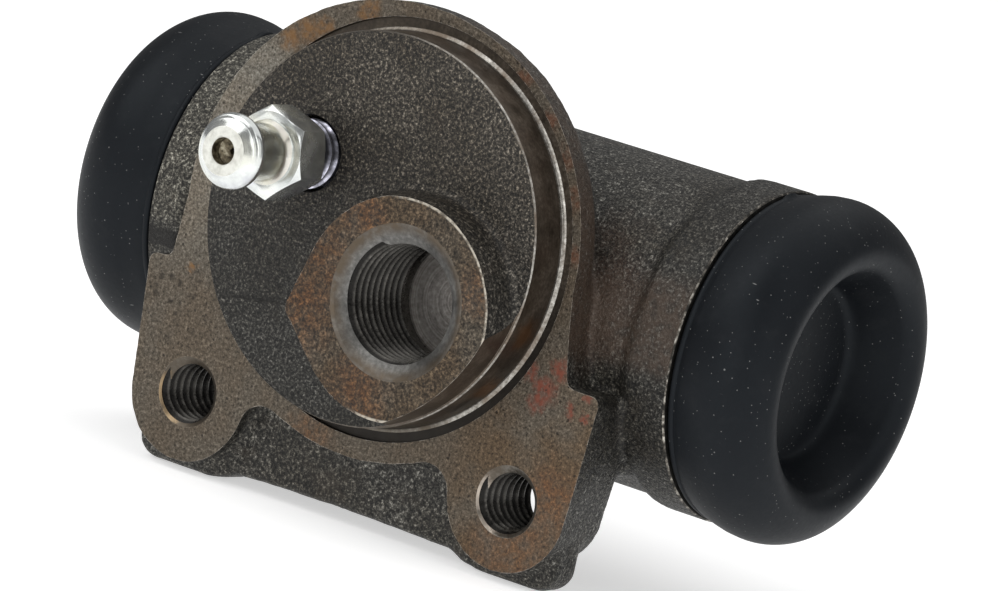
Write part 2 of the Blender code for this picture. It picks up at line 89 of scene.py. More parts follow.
# ==== node helpers ============================================================
class Mat:
    """A small writer of node materials. Coordinates are the object's own, in metres."""

    def __init__(self, name):
        self.m = bpy.data.materials.new(name)
        self.m.use_nodes = True
        self.t = self.m.node_tree
        self.bsdf = self.t.nodes["Principled BSDF"]
        self.co = self.t.nodes.new("ShaderNodeTexCoord").outputs["Object"]

    def node(self, kind, **settings):
        n = self.t.nodes.new(kind)
        for k, v in settings.items():
            setattr(n, k, v)
        return n

    def put(self, socket, value):
        if isinstance(value, bpy.types.NodeSocket):
            self.t.links.new(value, socket)
        elif value is not None:
            socket.default_value = value

    def math(self, op, a, b=None, c=None, clamp=False):
        n = self.node("ShaderNodeMath", operation=op, use_clamp=clamp)
        for s, v in zip(n.inputs, (a, b, c)):
            self.put(s, v)
        return n.outputs[0]

    def vmath(self, op, a, b=None, scale=None):
        n = self.node("ShaderNodeVectorMath", operation=op)
        self.put(n.inputs[0], a)
        self.put(n.inputs[1], b)
        if scale is not None:
            self.put(n.inputs["Scale"], scale)
        return n.outputs["Value" if op in ("DOT_PRODUCT", "DISTANCE", "LENGTH") else "Vector"]

    def noise(self, scale, detail=3.0, rough=0.55, vec=None, distort=0.0, color=False):
        n = self.node("ShaderNodeTexNoise")
        self.put(n.inputs["Vector"], vec or self.co)
        self.put(n.inputs["Scale"], scale)
        self.put(n.inputs["Detail"], detail)
        self.put(n.inputs["Roughness"], rough)
        self.put(n.inputs["Distortion"], distort)
        return n.outputs["Color" if color else "Fac"]

    def cells(self, scale, out="Distance", vec=None, feature="F1", randomness=1.0):
        n = self.node("ShaderNodeTexVoronoi", feature=feature)
        self.put(n.inputs["Vector"], vec or self.co)
        self.put(n.inputs["Scale"], scale)
        self.put(n.inputs["Randomness"], randomness)
        return n.outputs[out]

    def ramp(self, fac, *stops, ease=False):
        n = self.node("ShaderNodeValToRGB")
        n.color_ramp.interpolation = "EASE" if ease else "LINEAR"
        e = n.color_ramp.elements
        while len(e) < len(stops):
            e.new(0.5)
        for el, (pos, col) in zip(e, stops):
            el.position = pos
            el.color = (*col, 1.0) if isinstance(col, tuple) else (col, col, col, 1.0)
        self.put(n.inputs["Fac"], fac)
        return n.outputs["Color"]

    def step(self, value, lo, hi, a=0.0, b=1.0):
        n = self.node("ShaderNodeMapRange", interpolation_type="SMOOTHSTEP")
        for s, v in zip(n.inputs, (value, lo, hi, a, b)):
            self.put(s, v)
        return n.outputs[0]

    def mix(self, fac, a, b, blend="MIX"):
        n = self.node("ShaderNodeMix", data_type="RGBA", blend_type=blend)
        self.put(n.inputs["Factor"], fac)
        self.put(n.inputs[6], (*a, 1.0) if isinstance(a, tuple) else a)
        self.put(n.inputs[7], (*b, 1.0) if isinstance(b, tuple) else b)
        return n.outputs[2]

    def bump(self, height, distance, strength=1.0, normal=None):
        n = self.node("ShaderNodeBump")
        self.put(n.inputs["Height"], height)
        n.inputs["Distance"].default_value = distance
        n.inputs["Strength"].default_value = strength
        self.put(n.inputs["Normal"], normal)
        return n.outputs["Normal"]

    def xyz(self, vec=None):
        n = self.node("ShaderNodeSeparateXYZ")
        self.put(n.inputs[0], vec or self.co)
        return n.outputs

    def spot(self, x, y, z, r, soft=0.5, wobble=None):
        """1 within r (mm) of a point, falling to 0; its edge is broken up by wobble (mm)."""
        d = self.vmath("DISTANCE", self.co, (x / 1000, y / 1000, z / 1000))
        if wobble is not None:
            d = self.math("ADD", d, wobble)
        return self.step(d, r * (1 - soft) / 1000, r * (1 + soft) / 1000, 1.0, 0.0)

    def most(self, *masks):
        out = masks[0]
        for m in masks[1:]:
            out = self.math("MAXIMUM", out, m)
        return out

    def from_axis(self, axis, a, b):
        """Distance in metres from a line along X or Y through (a, b) mm of the other two."""
        o = self.xyz()
        u, v = (o[0], o[2]) if axis == "Y" else (o[1], o[2])
        du = self.math("SUBTRACT", u, a / 1000)
        dv = self.math("SUBTRACT", v, b / 1000)
        return self.math("SQRT", self.math("ADD", self.math("MULTIPLY", du, du), self.math("MULTIPLY", dv, dv)))

    def edges(self, radius_mm, lo=0.90, hi=0.995, samples=6):
        """1 along sharp edges, 0 elsewhere, from the difference of rounded and true normals."""
        bev = self.node("ShaderNodeBevel", samples=samples)
        bev.inputs["Radius"].default_value = radius_mm / 1000
        geo = self.node("ShaderNodeNewGeometry")
        d = self.vmath("DOT_PRODUCT", bev.outputs[0], geo.outputs["Normal"])
        return self.step(d, lo, hi, 1.0, 0.0)

    def rounded(self, radius_mm, samples=6):
        bev = self.node("ShaderNodeBevel", samples=samples)
        bev.inputs["Radius"].default_value = radius_mm / 1000
        return bev.outputs[0]

    def done(self, color=None, metallic=None, rough=None, normal=None, **more):
        b = self.bsdf.inputs
        if isinstance(color, tuple):
            color = (*color, 1.0)
        self.put(b["Base Color"], color)
        self.put(b["Metallic"], metallic)
        self.put(b["Roughness"], rough)
        self.put(b["Normal"], normal)
        for k, v in more.items():
            b[k.replace("_", " ")].default_value = v
        return self.m


# ==== materials ================================================================
def cast_iron():
    m = Mat("cast_iron_skin")
    o = m.xyz()
    fine = m.noise(6600, 2.0, 0.65)
    grain = m.noise(3500, 2.5, 0.6)
    lumps = m.noise(1100, 3.0, 0.5)
    tint = m.noise(95, 3.0, 0.6)
    patch = m.noise(260, 4.0, 0.65)
    base = m.ramp(m.math("ADD", m.math("MULTIPLY", grain, 0.6), m.math("MULTIPLY", fine, 0.4)),
                  (0.36, (0.0045, 0.0042, 0.0036)), (0.455, (0.022, 0.0205, 0.0175)), (0.515, (0.054, 0.051, 0.044)),
                  (0.58, (0.135, 0.129, 0.112)), (0.68, (0.46, 0.445, 0.40)))
    base = m.mix(m.step(tint, 0.42, 0.66), base, (0.66, 0.63, 0.58), "MULTIPLY")
    base = m.mix(m.math("MULTIPLY", m.step(patch, 0.54, 0.76), 0.34), base, (0.066, 0.050, 0.034))
    # darker inside the spigot and on the right collar, and painted light on the left one, made paler where light falls
    # on it
    inner = m.math("MULTIPLY", m.step(o[1], -0.0026, -0.0034), m.step(o[2], 0.0385, 0.0360))
    base = m.mix(0.16, base, (0.0, 0.0, 0.0))
    base = m.mix(m.math("MULTIPLY", inner, 0.40), base, (0.0, 0.0, 0.0))
    warm = m.math("MULTIPLY", inner, m.step(m.math("ADD", o[2], m.math("MULTIPLY", o[0], 0.25)), 0.0100, 0.0320))
    base = m.mix(warm, base, m.mix(1.0, base, (1.76, 1.60, 1.46), "MULTIPLY"))
    base = m.mix(m.math("MULTIPLY", m.step(o[0], 0.0215, 0.0240), 0.34), base, (0.0, 0.0, 0.0))
    # painted light: the upper left collar lightened, as if lit from the top left
    painted_light = m.math("MULTIPLY", m.step(o[0], -0.0212, -0.0228), m.step(o[2], 0.0125, 0.0140))
    base = m.mix(painted_light, base, m.mix(1.0, base, (1.50, 1.48, 1.40), "MULTIPLY"))
    # light rust where the flange meets the barrel, behind the machined rim
    wob = m.math("MULTIPLY", m.math("SUBTRACT", m.noise(420, 4.0, 0.7), 0.5), 0.006)
    rust = m.most(m.spot(18.0, 2.5, 24.5, 3.4, 0.8, wob), m.spot(18.8, 2.5, 15.5, 3.0, 0.8, wob),
                  m.spot(19.6, 3.5, 19.5, 3.0, 0.9, wob))
    rust = m.math("MULTIPLY", rust, m.step(fine, 0.36, 0.60, 0.20, 0.55))
    base = m.mix(rust, base, (0.082, 0.043, 0.025))
    # the rim's outer side, browner from the top round to the right
    side = m.math("MULTIPLY", m.step(o[1], 0.0046, 0.0032), m.step(o[0], -0.0020, 0.0080))
    side = m.math("MULTIPLY", side, m.math("MULTIPLY", m.step(o[2], 0.0125, 0.0150), m.step(o[1], -0.0009, -0.0004)))
    base = m.mix(m.math("MULTIPLY", side, m.step(lumps, 0.34, 0.60, 0.30, 0.62)), base, (0.078, 0.052, 0.036))
    # a short casting crease beside the port boss: a dip in the bump, with painted shade darkening it nearly to black
    t = m.math("DIVIDE", m.math("SUBTRACT", o[0], -0.01232), 0.00549, clamp=True)
    line_z = m.math("ADD", m.math("MULTIPLY", t, 0.0008), 0.00992)
    off = m.math("ABSOLUTE", m.math("SUBTRACT", m.math("SUBTRACT", o[2], line_z),
                                    m.math("MULTIPLY", m.math("SUBTRACT", m.noise(600, 2.0), 0.5), 0.0009)))
    inside = m.math("MULTIPLY", m.step(o[0], -0.0128, -0.0118), m.step(o[0], -0.0070, -0.0064, 1.0, 0.0))
    crease = m.math("MULTIPLY", m.step(off, 0.00004, 0.00022, 1.0, 0.0), inside)
    crease = m.math("MULTIPLY", crease, m.step(o[1], -0.0034, -0.0036))
    # painted shadow: the dark corner above the left shoulder, where the gap between shoulder and collar lies in shade
    painted_shadow_notch = m.math("MULTIPLY", m.step(o[2], 0.0128, 0.0120), m.step(o[2], 0.01075, 0.01090))
    painted_shadow_notch = m.math("MULTIPLY", painted_shadow_notch, m.step(o[0], -0.0203, -0.0212))
    painted_shadow_notch = m.math("MULTIPLY", painted_shadow_notch, m.step(o[1], 0.0110, 0.0090))
    # painted shade, near black, in the crease and in the corner above the left shoulder
    dark = m.math("MAXIMUM", m.math("MULTIPLY", crease, 0.7), m.math("MULTIPLY", painted_shadow_notch, 0.93))
    base = m.mix(dark, base, (0.007, 0.006, 0.005))
    h = m.math("ADD", m.math("MULTIPLY", grain, 0.9), m.math("MULTIPLY", fine, 0.6))
    h = m.math("ADD", h, m.math("MULTIPLY", lumps, 0.8))
    h = m.math("SUBTRACT", h, m.math("MULTIPLY", crease, 1.2))
    rough = m.step(fine, 0.3, 0.7, 0.62, 0.38)
    return m.done(base, 0.40, rough, m.bump(h, 0.00011, 1.0), Specular_IOR_Level=0.5)


def faced_iron():
    """The machined mounting face and port boss face: brownish grey, pitted, lightly rusted."""
    m = Mat("cast_iron_faced")
    o = m.xyz()
    fine = m.noise(6000, 3.0, 0.65)
    grit = m.noise(3300, 2.0, 0.6)
    mid = m.noise(1200, 3.0, 0.6)
    big = m.noise(150, 3.0, 0.6)
    speck = m.math("ADD", m.math("MULTIPLY", fine, 0.42), m.math("MULTIPLY", grit, 0.46))
    speck = m.math("ADD", speck, m.math("MULTIPLY", mid, 0.12))
    base = m.ramp(speck, (0.37, (0.022, 0.018, 0.0125)), (0.45, (0.072, 0.060, 0.045)),
                  (0.53, (0.118, 0.100, 0.077)), (0.66, (0.250, 0.220, 0.178)))
    # browner on the port boss and the right ear
    boss = m.step(o[1], -0.0050, -0.0062)
    ear = m.math("MULTIPLY", m.step(o[0], 0.0060, 0.0150), m.step(o[2], 0.0150, 0.0060))
    brown = m.math("MULTIPLY", m.step(big, 0.38, 0.62, 0.15, 1.0), m.most(m.math("MULTIPLY", boss, 0.75),
                                                                          m.math("MULTIPLY", ear, 0.9), 0.35))
    base = m.mix(brown, base, m.mix(1.0, base, (0.96, 0.74, 0.53), "MULTIPLY"))
    rust_grain = m.ramp(m.math("ADD", m.math("MULTIPLY", fine, 0.5), m.math("MULTIPLY", grit, 0.5)),
                        (0.38, (0.35, 0.35, 0.35)), (0.50, (0.95, 0.95, 0.95)), (0.64, (1.9, 1.85, 1.75)))
    base = m.mix(m.math("MULTIPLY", boss, 0.42), base, m.mix(1.0, base, rust_grain, "MULTIPLY"))
    base = m.mix(m.math("MULTIPLY", boss, 0.34), base, (0.0, 0.0, 0.0))
    # painted light: lighter and greyer on the left of the rim, where light falls on it
    painted_light_left_rim = m.math("MULTIPLY", m.step(o[0], -0.0125, -0.0150), m.step(o[2], 0.0080, 0.0190))
    painted_light_left_rim = m.math("MULTIPLY", painted_light_left_rim, m.step(o[2], 0.0325, 0.0305))
    base = m.mix(painted_light_left_rim, base, m.mix(1.0, base, (1.62, 1.78, 1.95), "MULTIPLY"))
    wob = m.math("MULTIPLY", m.math("SUBTRACT", m.noise(380, 4.0, 0.7), 0.5), 0.005)
    tint = m.most(m.spot(-2.9, -6.9, 11.4, 3.4, 0.8, wob), m.spot(-1.6, -6.9, 16.4, 2.4, 0.9, wob),
                  m.spot(1.2, -6.9, 20.6, 2.0, 0.9, wob), m.spot(4.5, -6.9, 6.0, 2.6, 0.9, wob),
                  m.spot(13.9, -6.9, 17.0, 1.2, 0.9, wob), m.spot(18.5, 0, -4.0, 3.4, 0.9, wob),
                  m.spot(21.5, 0, 1.0, 2.6, 0.9, wob), m.spot(-4.0, 0, -0.4, 2.0, 0.9, wob))
    base = m.mix(m.math("MULTIPLY", tint, m.step(mid, 0.36, 0.60, 0.45, 0.95)), base,
                 m.mix(1.0, base, (1.20, 0.78, 0.48), "MULTIPLY"))
    # orange and red rust marks on the rim and the right ear
    small = m.math("MULTIPLY", m.math("SUBTRACT", m.noise(700, 4.0, 0.75), 0.5), 0.003)
    orange = m.most(m.spot(-14.2, 0, 32.2, 0.9, 0.8, small), m.spot(-12.9, 0, 33.1, 1.0, 0.8, small),
                    m.spot(-11.4, 0, 33.8, 0.8, 0.8, small), m.spot(-7.2, 0, 36.2, 0.9, 0.7, small),
                    m.spot(-19.4, 0, 10.4, 0.45, 0.5, small))
    stain = m.most(m.spot(9.4, 0, 34.6, 0.7, 0.9, small), m.spot(13.0, 0, 31.7, 0.7, 0.9, small),
                   m.spot(15.3, 0, 29.2, 0.8, 0.9, small), m.spot(16.9, 0, 26.0, 0.8, 0.9, small),
                   m.spot(18.2, 0, 21.5, 0.6, 0.9, small))
    red = m.most(m.spot(19.4, 0, 12.1, 0.75, 0.8, small), m.spot(18.25, 0, 10.05, 1.0, 0.8, small),
                 m.spot(17.7, 0, 9.0, 0.8, 0.8, small), m.spot(16.5, 0, 11.1, 0.7, 0.9, small),
                 m.spot(21.2, 0, 9.0, 0.45, 0.8, small), m.spot(22.6, 0, 10.5, 0.35, 0.8, small),
                 m.spot(22.6, 0, 8.6, 0.35, 0.8, small))
    broken = m.step(mid, 0.36, 0.56, 0.30, 1.0)
    base = m.mix(m.math("MULTIPLY", m.math("MULTIPLY", orange, broken), 0.72), base, (0.22, 0.100, 0.020))
    base = m.mix(m.math("MULTIPLY", m.math("MULTIPLY", stain, broken), 0.45), base, (0.19, 0.060, 0.026))
    base = m.mix(m.math("MULTIPLY", m.math("MULTIPLY", red, broken), 0.84), base, (0.19, 0.040, 0.018))
    # pits: fine ones everywhere, some larger ones on the left ear
    cell = m.cells(1700)
    pit = m.math("MULTIPLY", m.step(cell, 0.12, 0.28, 1.0, 0.0), m.step(m.noise(800, 2.0), 0.50, 0.60))
    wear = m.spot(-20.6, 0, 7.5, 3.6, 0.7)
    pit2 = m.math("MULTIPLY", m.step(m.cells(1050), 0.24, 0.44, 1.0, 0.0), m.math("MULTIPLY", wear, m.step(m.noise(500, 2.0), 0.42, 0.52)))
    pits = m.most(pit, pit2)
    base = m.mix(m.math("MULTIPLY", pits, 0.78), base, (0.018, 0.014, 0.010))
    # bright sharp edges: worn bare metal, and partly a painted highlight along them
    edge = m.math("MULTIPLY", m.edges(0.09), m.step(m.noise(1500, 3.0), 0.44, 0.60, 0.10, 1.0))
    base = m.mix(m.math("MULTIPLY", edge, 0.75), base, (0.55, 0.51, 0.45))
    # painted highlight on the port boss's burr: bright and broken, on its right and low on the right, where light
    # catches the edge
    rb = m.from_axis("Y", BOSS_X, BOSS_Z)
    painted_burr_highlight = m.math("MULTIPLY", m.step(rb, 0.00922, 0.00936), m.math("MULTIPLY", boss, m.step(o[0], 0.0035, 0.0060)))
    painted_burr_highlight = m.math("MULTIPLY", painted_burr_highlight, m.step(m.noise(1300, 3.0, 0.65), 0.40, 0.56, 0.25, 1.0))
    base = m.mix(m.math("MULTIPLY", painted_burr_highlight, 0.8), base, (0.62, 0.57, 0.48))
    rings = m.math("SINE", m.math("MULTIPLY", m.from_axis("Y", 0, SPIGOT_Z), 2 * math.pi / 0.00022))
    h = m.math("ADD", m.math("MULTIPLY", fine, 0.7), m.math("MULTIPLY", rings, 0.05))
    h = m.math("SUBTRACT", m.math("ADD", h, m.math("MULTIPLY", grit, 0.7)), m.math("MULTIPLY", pits, 1.1))
    rusty = m.most(tint, orange, red)
    rough = m.math("ADD", m.step(fine, 0.3, 0.7, 0.40, 0.56), m.math("MULTIPLY", rusty, 0.20))
    metal = m.step(rusty, 0.0, 1.0, 0.60, 0.22)
    return m.done(base, metal, rough, m.bump(h, 0.000038, 1.0), Specular_IOR_Level=0.5)


def turned_iron():
    """The turned side of the spigot: smoother and darker brown."""
    m = Mat("cast_iron_turned")
    fine = m.noise(3600, 3.0, 0.6)
    mid = m.noise(420, 4.0, 0.62)
    base = m.ramp(m.math("ADD", m.math("MULTIPLY", fine, 0.4), m.math("MULTIPLY", mid, 0.6)),
                  (0.34, (0.050, 0.038, 0.028)), (0.52, (0.105, 0.082, 0.062)), (0.68, (0.19, 0.155, 0.122)))
    wob = m.math("MULTIPLY", m.math("SUBTRACT", m.noise(520, 4.0, 0.7), 0.5), 0.004)
    spots = m.most(m.spot(-5.5, -1.5, 34.7, 0.9, 0.6, wob), m.spot(16.2, -1.5, 14.0, 1.2, 0.9, wob),
                   m.spot(13.2, -1.0, 8.6, 1.1, 0.8, wob))
    base = m.mix(m.math("MULTIPLY", spots, 0.5), base, (0.22, 0.09, 0.025))
    # bright sharp edges: worn bare metal, and partly a painted highlight along them
    edge = m.math("MULTIPLY", m.edges(0.09), m.step(m.noise(1300, 3.0), 0.38, 0.56, 0.20, 1.0))
    base = m.mix(m.math("MULTIPLY", edge, 0.72), base, (0.58, 0.54, 0.47))
    n = m.node("ShaderNodeMapping")
    m.put(n.inputs["Vector"], m.co)
    n.inputs["Scale"].default_value = (60, 5200, 60)
    lines = m.noise(1.0, 2.0, 0.6, vec=n.outputs[0])
    h = m.math("ADD", m.math("MULTIPLY", lines, 0.7), m.math("MULTIPLY", fine, 0.25))
    rough = m.step(mid, 0.35, 0.65, 0.30, 0.44)
    return m.done(base, 0.75, rough, m.bump(h, 0.000018, 1.0), Specular_IOR_Level=0.5)


def groove_iron():
    """The floor and the outer wall of the seal groove: brownish, and nearly black towards the bottom."""
    m = Mat("cast_iron_groove")
    o = m.xyz()
    fine = m.noise(3200, 3.0, 0.6)
    mid = m.noise(520, 3.0, 0.6)
    base = m.ramp(m.math("ADD", m.math("MULTIPLY", fine, 0.5), m.math("MULTIPLY", mid, 0.5)),
                  (0.34, (0.030, 0.023, 0.016)), (0.52, (0.066, 0.052, 0.038)), (0.68, (0.125, 0.102, 0.078)))
    low = m.step(o[2], 0.0230, 0.0120, 0.0, 0.85)
    base = m.mix(low, base, (0.010, 0.008, 0.006))
    return m.done(base, 0.55, m.step(fine, 0.3, 0.7, 0.40, 0.56), m.bump(fine, 0.00002, 1.0), Specular_IOR_Level=0.5)


def bright_iron():
    """The polished fillet at the root of the spigot and the countersinks of the ears."""
    m = Mat("cast_iron_bright")
    o = m.xyz()
    fine = m.noise(3000, 3.0, 0.6)
    big = m.noise(230, 3.0, 0.6)
    base = m.ramp(fine, (0.32, (0.18, 0.165, 0.145)), (0.55, (0.38, 0.36, 0.325)), (0.72, (0.60, 0.58, 0.54)))
    base = m.mix(m.step(big, 0.44, 0.66, 0.0, 0.75), base, (0.16, 0.115, 0.08))
    base = m.mix(m.step(o[0], 0.0060, -0.0020, 0.0, 0.65), base, (0.12, 0.095, 0.07))
    # the ears' countersinks are dull, with painted highlights low on their left: golden glints on the left ear,
    # whitish ones on the right
    low = m.step(o[2], 0.0050, 0.0040)
    base = m.mix(m.math("MULTIPLY", low, 0.72), base, (0.085, 0.070, 0.052))
    wob = m.math("MULTIPLY", m.math("SUBTRACT", m.noise(1200, 3.0, 0.6), 0.5), 0.003)
    # painted highlight: golden glints low on the left of the left ear's countersink
    painted_gold_glint = m.most(m.spot(-EAR_X - 2.6, 0.2, -0.6, 1.2, 0.7, wob), m.spot(-EAR_X - 1.6, 0.2, -2.2, 0.9, 0.7, wob))
    base = m.mix(m.math("MULTIPLY", painted_gold_glint, 0.75), base, (0.46, 0.33, 0.19))
    # painted highlight: whitish glints low on the left of the right ear's countersink
    painted_light = m.most(m.spot(EAR_X - 2.7, 0.2, -0.3, 1.4, 0.7, wob), m.spot(EAR_X - 1.7, 0.2, -2.3, 1.0, 0.7, wob))
    base = m.mix(m.math("MULTIPLY", painted_light, 0.75), base, (0.60, 0.52, 0.44))
    return m.done(base, 0.85, m.step(big, 0.3, 0.7, 0.26, 0.42), m.bump(fine, 0.000012, 1.0))


def sink_iron():
    """The satin countersink of the inlet port, stained at its outer edge."""
    m = Mat("cast_iron_countersink")
    r = m.from_axis("Y", PORT_X, PORT_Z)
    fine = m.noise(2600, 3.0, 0.6)
    big = m.noise(300, 3.0, 0.6)
    base = m.ramp(m.math("ADD", m.math("MULTIPLY", fine, 0.5), m.math("MULTIPLY", big, 0.5)),
                  (0.36, (0.075, 0.073, 0.069)), (0.52, (0.150, 0.146, 0.138)), (0.68, (0.27, 0.265, 0.25)))
    rim = m.math("MULTIPLY", m.step(r, 0.00545, 0.00640), m.step(m.noise(700, 3.0, 0.6), 0.34, 0.60, 0.60, 1.0))
    base = m.mix(m.math("MULTIPLY", rim, 0.92), base, (0.098, 0.074, 0.050))
    rings = m.noise(1.0, 2.0, 0.6, vec=m.combine(r, 11000))
    h = m.math("ADD", m.math("MULTIPLY", rings, 0.8), m.math("MULTIPLY", fine, 0.25))
    return m.done(base, 0.8, m.step(big, 0.35, 0.65, 0.32, 0.44), m.bump(h, 0.000016, 1.0))


def floor_iron():
    """The turned floor of the inlet port, with the drill's arcs."""
    m = Mat("cast_iron_port_floor")
    r = m.from_axis("Y", PORT_X, PORT_Z)
    fine = m.noise(2600, 3.0, 0.6)
    arcs = m.noise(1.0, 3.0, 0.7, vec=m.combine(r, 5200))
    base = m.ramp(m.math("ADD", m.math("MULTIPLY", arcs, 0.6), m.math("MULTIPLY", fine, 0.4)),
                  (0.34, (0.16, 0.145, 0.13)), (0.52, (0.36, 0.335, 0.31)), (0.70, (0.60, 0.57, 0.53)))
    h = m.math("ADD", arcs, m.math("MULTIPLY", fine, 0.3))
    return m.done(base, 0.7, 0.42, m.bump(h, 0.00003, 1.0))


def thread_iron():
    """Tapped threads: nearly black in the valleys, lighter on the crests."""
    m = Mat("cast_iron_thread")
    o = m.xyz()
    fine = m.noise(3400, 3.0, 0.6)
    big = m.noise(380, 3.0, 0.6)
    base = m.ramp(m.math("ADD", m.math("MULTIPLY", fine, 0.5), m.math("MULTIPLY", big, 0.5)),
                  (0.36, (0.030, 0.028, 0.025)), (0.54, (0.075, 0.071, 0.064)), (0.70, (0.16, 0.15, 0.135)))
    r = m.from_axis("Y", PORT_X, PORT_Z)
    deep = m.math("MULTIPLY", m.step(r, 0.00497, 0.00518), m.step(r, 0.0060, 0.0058))
    for x in (-EAR_X, EAR_X):
        q = m.from_axis("Y", x, 0)
        deep = m.math("MAXIMUM", deep, m.math("MULTIPLY", m.step(q, 0.00244, 0.00262), m.step(q, 0.0035, 0.0034)))
    base = m.mix(m.math("MULTIPLY", deep, 0.85), base, (0.006, 0.0055, 0.005))
    return m.done(base, 0.8, m.step(fine, 0.3, 0.7, 0.24, 0.38), m.bump(fine, 0.00001, 1.0))


def painted_shade_iron():
    """The ends of the collars under the boots and the mouth of the bleed hole: painted shade, near black, for the
    shadow in these gaps.
    """
    m = Mat("cast_iron_painted_shade")
    n1 = m.noise(1600, 3.0, 0.6)
    base = m.ramp(n1, (0.36, (0.006, 0.006, 0.005)), (0.64, (0.020, 0.019, 0.017)))
    return m.done(base, 0.2, m.step(n1, 0.3, 0.7, 0.55, 0.70), m.bump(n1, 0.00003, 1.0), Specular_IOR_Level=0.3)


def edge_iron():
    """Thin worn edges where a cutter has broken the cast skin."""
    m = Mat("cast_iron_worn_edge")
    n1 = m.noise(1500, 3.0, 0.65)
    base = m.ramp(n1, (0.44, (0.030, 0.028, 0.024)), (0.56, (0.15, 0.135, 0.115)), (0.70, (0.56, 0.53, 0.47)))
    return m.done(base, 0.7, m.step(n1, 0.3, 0.7, 0.46, 0.32), m.bump(n1, 0.00002, 1.0))


def bore_iron():
    m = Mat("cast_iron_bore")
    n = m.node("ShaderNodeMapping")
    m.put(n.inputs["Vector"], m.co)
    n.inputs["Scale"].default_value = (6000, 80, 80)
    lines = m.noise(1.0, 2.0, 0.6, vec=n.outputs[0])
    fine = m.noise(2400, 3.0, 0.6)
    base = m.ramp(m.math("ADD", m.math("MULTIPLY", lines, 0.5), m.math("MULTIPLY", fine, 0.5)),
                  (0.36, (0.17, 0.165, 0.16)), (0.55, (0.30, 0.295, 0.29)), (0.70, (0.42, 0.415, 0.41)))
    return m.done(base, 0.9, 0.3, m.bump(lines, 0.000012, 1.0))


def rubber():
    m = Mat("boot_rubber_skin")
    fine = m.noise(2600, 3.0, 0.6)
    mid = m.noise(520, 3.0, 0.6)
    big = m.noise(85, 3.0, 0.55)
    base = m.mix(m.step(big, 0.36, 0.66), (0.0034, 0.0042, 0.0058), (0.0056, 0.0067, 0.0086))
    base = m.mix(m.step(mid, 0.50, 0.78, 0.0, 0.4), base, (0.0115, 0.0122, 0.0138))
    # dust: sparse pale specks and short lint, larger ones rarer
    specks = []
    for scale, keep, size in ((900, 0.72, 0.075), (420, 0.82, 0.045), (1700, 0.72, 0.12), (2600, 0.72, 0.16)):
        pick = m.xyz(m.cells(scale, "Color"))
        dot = m.step(m.cells(scale), size * 0.5, size, 1.0, 0.0)
        specks.append(m.math("MULTIPLY", dot, m.step(pick[0], keep, keep + 0.10)))
    turn = m.node("ShaderNodeMapping")
    m.put(turn.inputs["Vector"], m.co)
    turn.inputs["Rotation"].default_value = (0.6, 0.9, 0.4)
    turn.inputs["Scale"].default_value = (260, 1500, 1500)
    v = turn.outputs[0]
    pick = m.xyz(m.cells(1.0, "Color", v))
    lint = m.math("MULTIPLY", m.step(m.cells(1.0, vec=v), 0.05, 0.10, 1.0, 0.0), m.step(pick[1], 0.86, 0.94))
    dust = m.most(*specks, lint)
    base = m.mix(m.math("MULTIPLY", dust, 0.50), base, (0.32, 0.32, 0.31))
    h = m.math("ADD", m.math("MULTIPLY", fine, 0.4), m.math("MULTIPLY", mid, 0.6))
    h = m.math("ADD", h, m.math("MULTIPLY", dust, 0.5))
    rough = m.math("ADD", m.step(big, 0.3, 0.7, 0.46, 0.56), m.math("MULTIPLY", m.math("SUBTRACT", fine, 0.5), 0.16))
    return m.done(base, 0.0, rough, m.bump(h, 0.000022, 1.0), Specular_IOR_Level=0.19,
                  Specular_Tint=(0.84, 0.93, 1.0, 1.0))


def zinc():
    m = Mat("zinc_plate_bright")
    fine = m.noise(2200, 3.0, 0.6)
    mid = m.noise(430, 3.0, 0.6)
    hue = m.noise(210, 2.0, 0.5)
    base = m.ramp(mid, (0.34, (0.58, 0.60, 0.59)), (0.52, (0.76, 0.785, 0.77)), (0.68, (0.90, 0.92, 0.90)))
    base = m.mix(m.step(hue, 0.50, 0.68, 0.0, 0.45), base, (0.76, 0.74, 0.58))
    base = m.mix(m.step(hue, 0.44, 0.30, 0.0, 0.40), base, (0.60, 0.60, 0.72))
    # olive and darker in the neck behind the nipple, and a painted highlight, a golden line, on the fillet where it
    # meets the hexagon
    r = m.from_axis("Y", BLEED_X, BLEED_Z)
    y = m.xyz()[1]
    neck = m.math("MULTIPLY", m.step(r, 0.00262, 0.00248), m.step(y, -0.0150, -0.0140))
    neck = m.math("MULTIPLY", neck, m.step(y, -0.0103, -0.0107))
    base = m.mix(m.math("MULTIPLY", neck, m.step(mid, 0.38, 0.6, 0.40, 0.85)), base, (0.21, 0.185, 0.115))
    # painted highlight: a faint golden line round the fillet to the hexagon
    ring = m.math("MULTIPLY", m.step(y, -0.0108, -0.0104), m.step(y, -0.0099, -0.0101))
    ring = m.math("MULTIPLY", ring, m.step(r, 0.0029, 0.00275))
    base = m.mix(m.math("MULTIPLY", ring, 0.28), base, (0.70, 0.56, 0.38))
    n = m.node("ShaderNodeMapping")
    m.put(n.inputs["Vector"], m.co)
    n.inputs["Scale"].default_value = (90, 6500, 90)
    lines = m.noise(1.0, 2.0, 0.6, vec=n.outputs[0])
    h = m.math("ADD", m.math("MULTIPLY", lines, 0.7), m.math("MULTIPLY", fine, 0.4))
    return m.done(base, 0.94, m.step(mid, 0.3, 0.7, 0.17, 0.29), m.bump(h, 0.000012, 1.0))


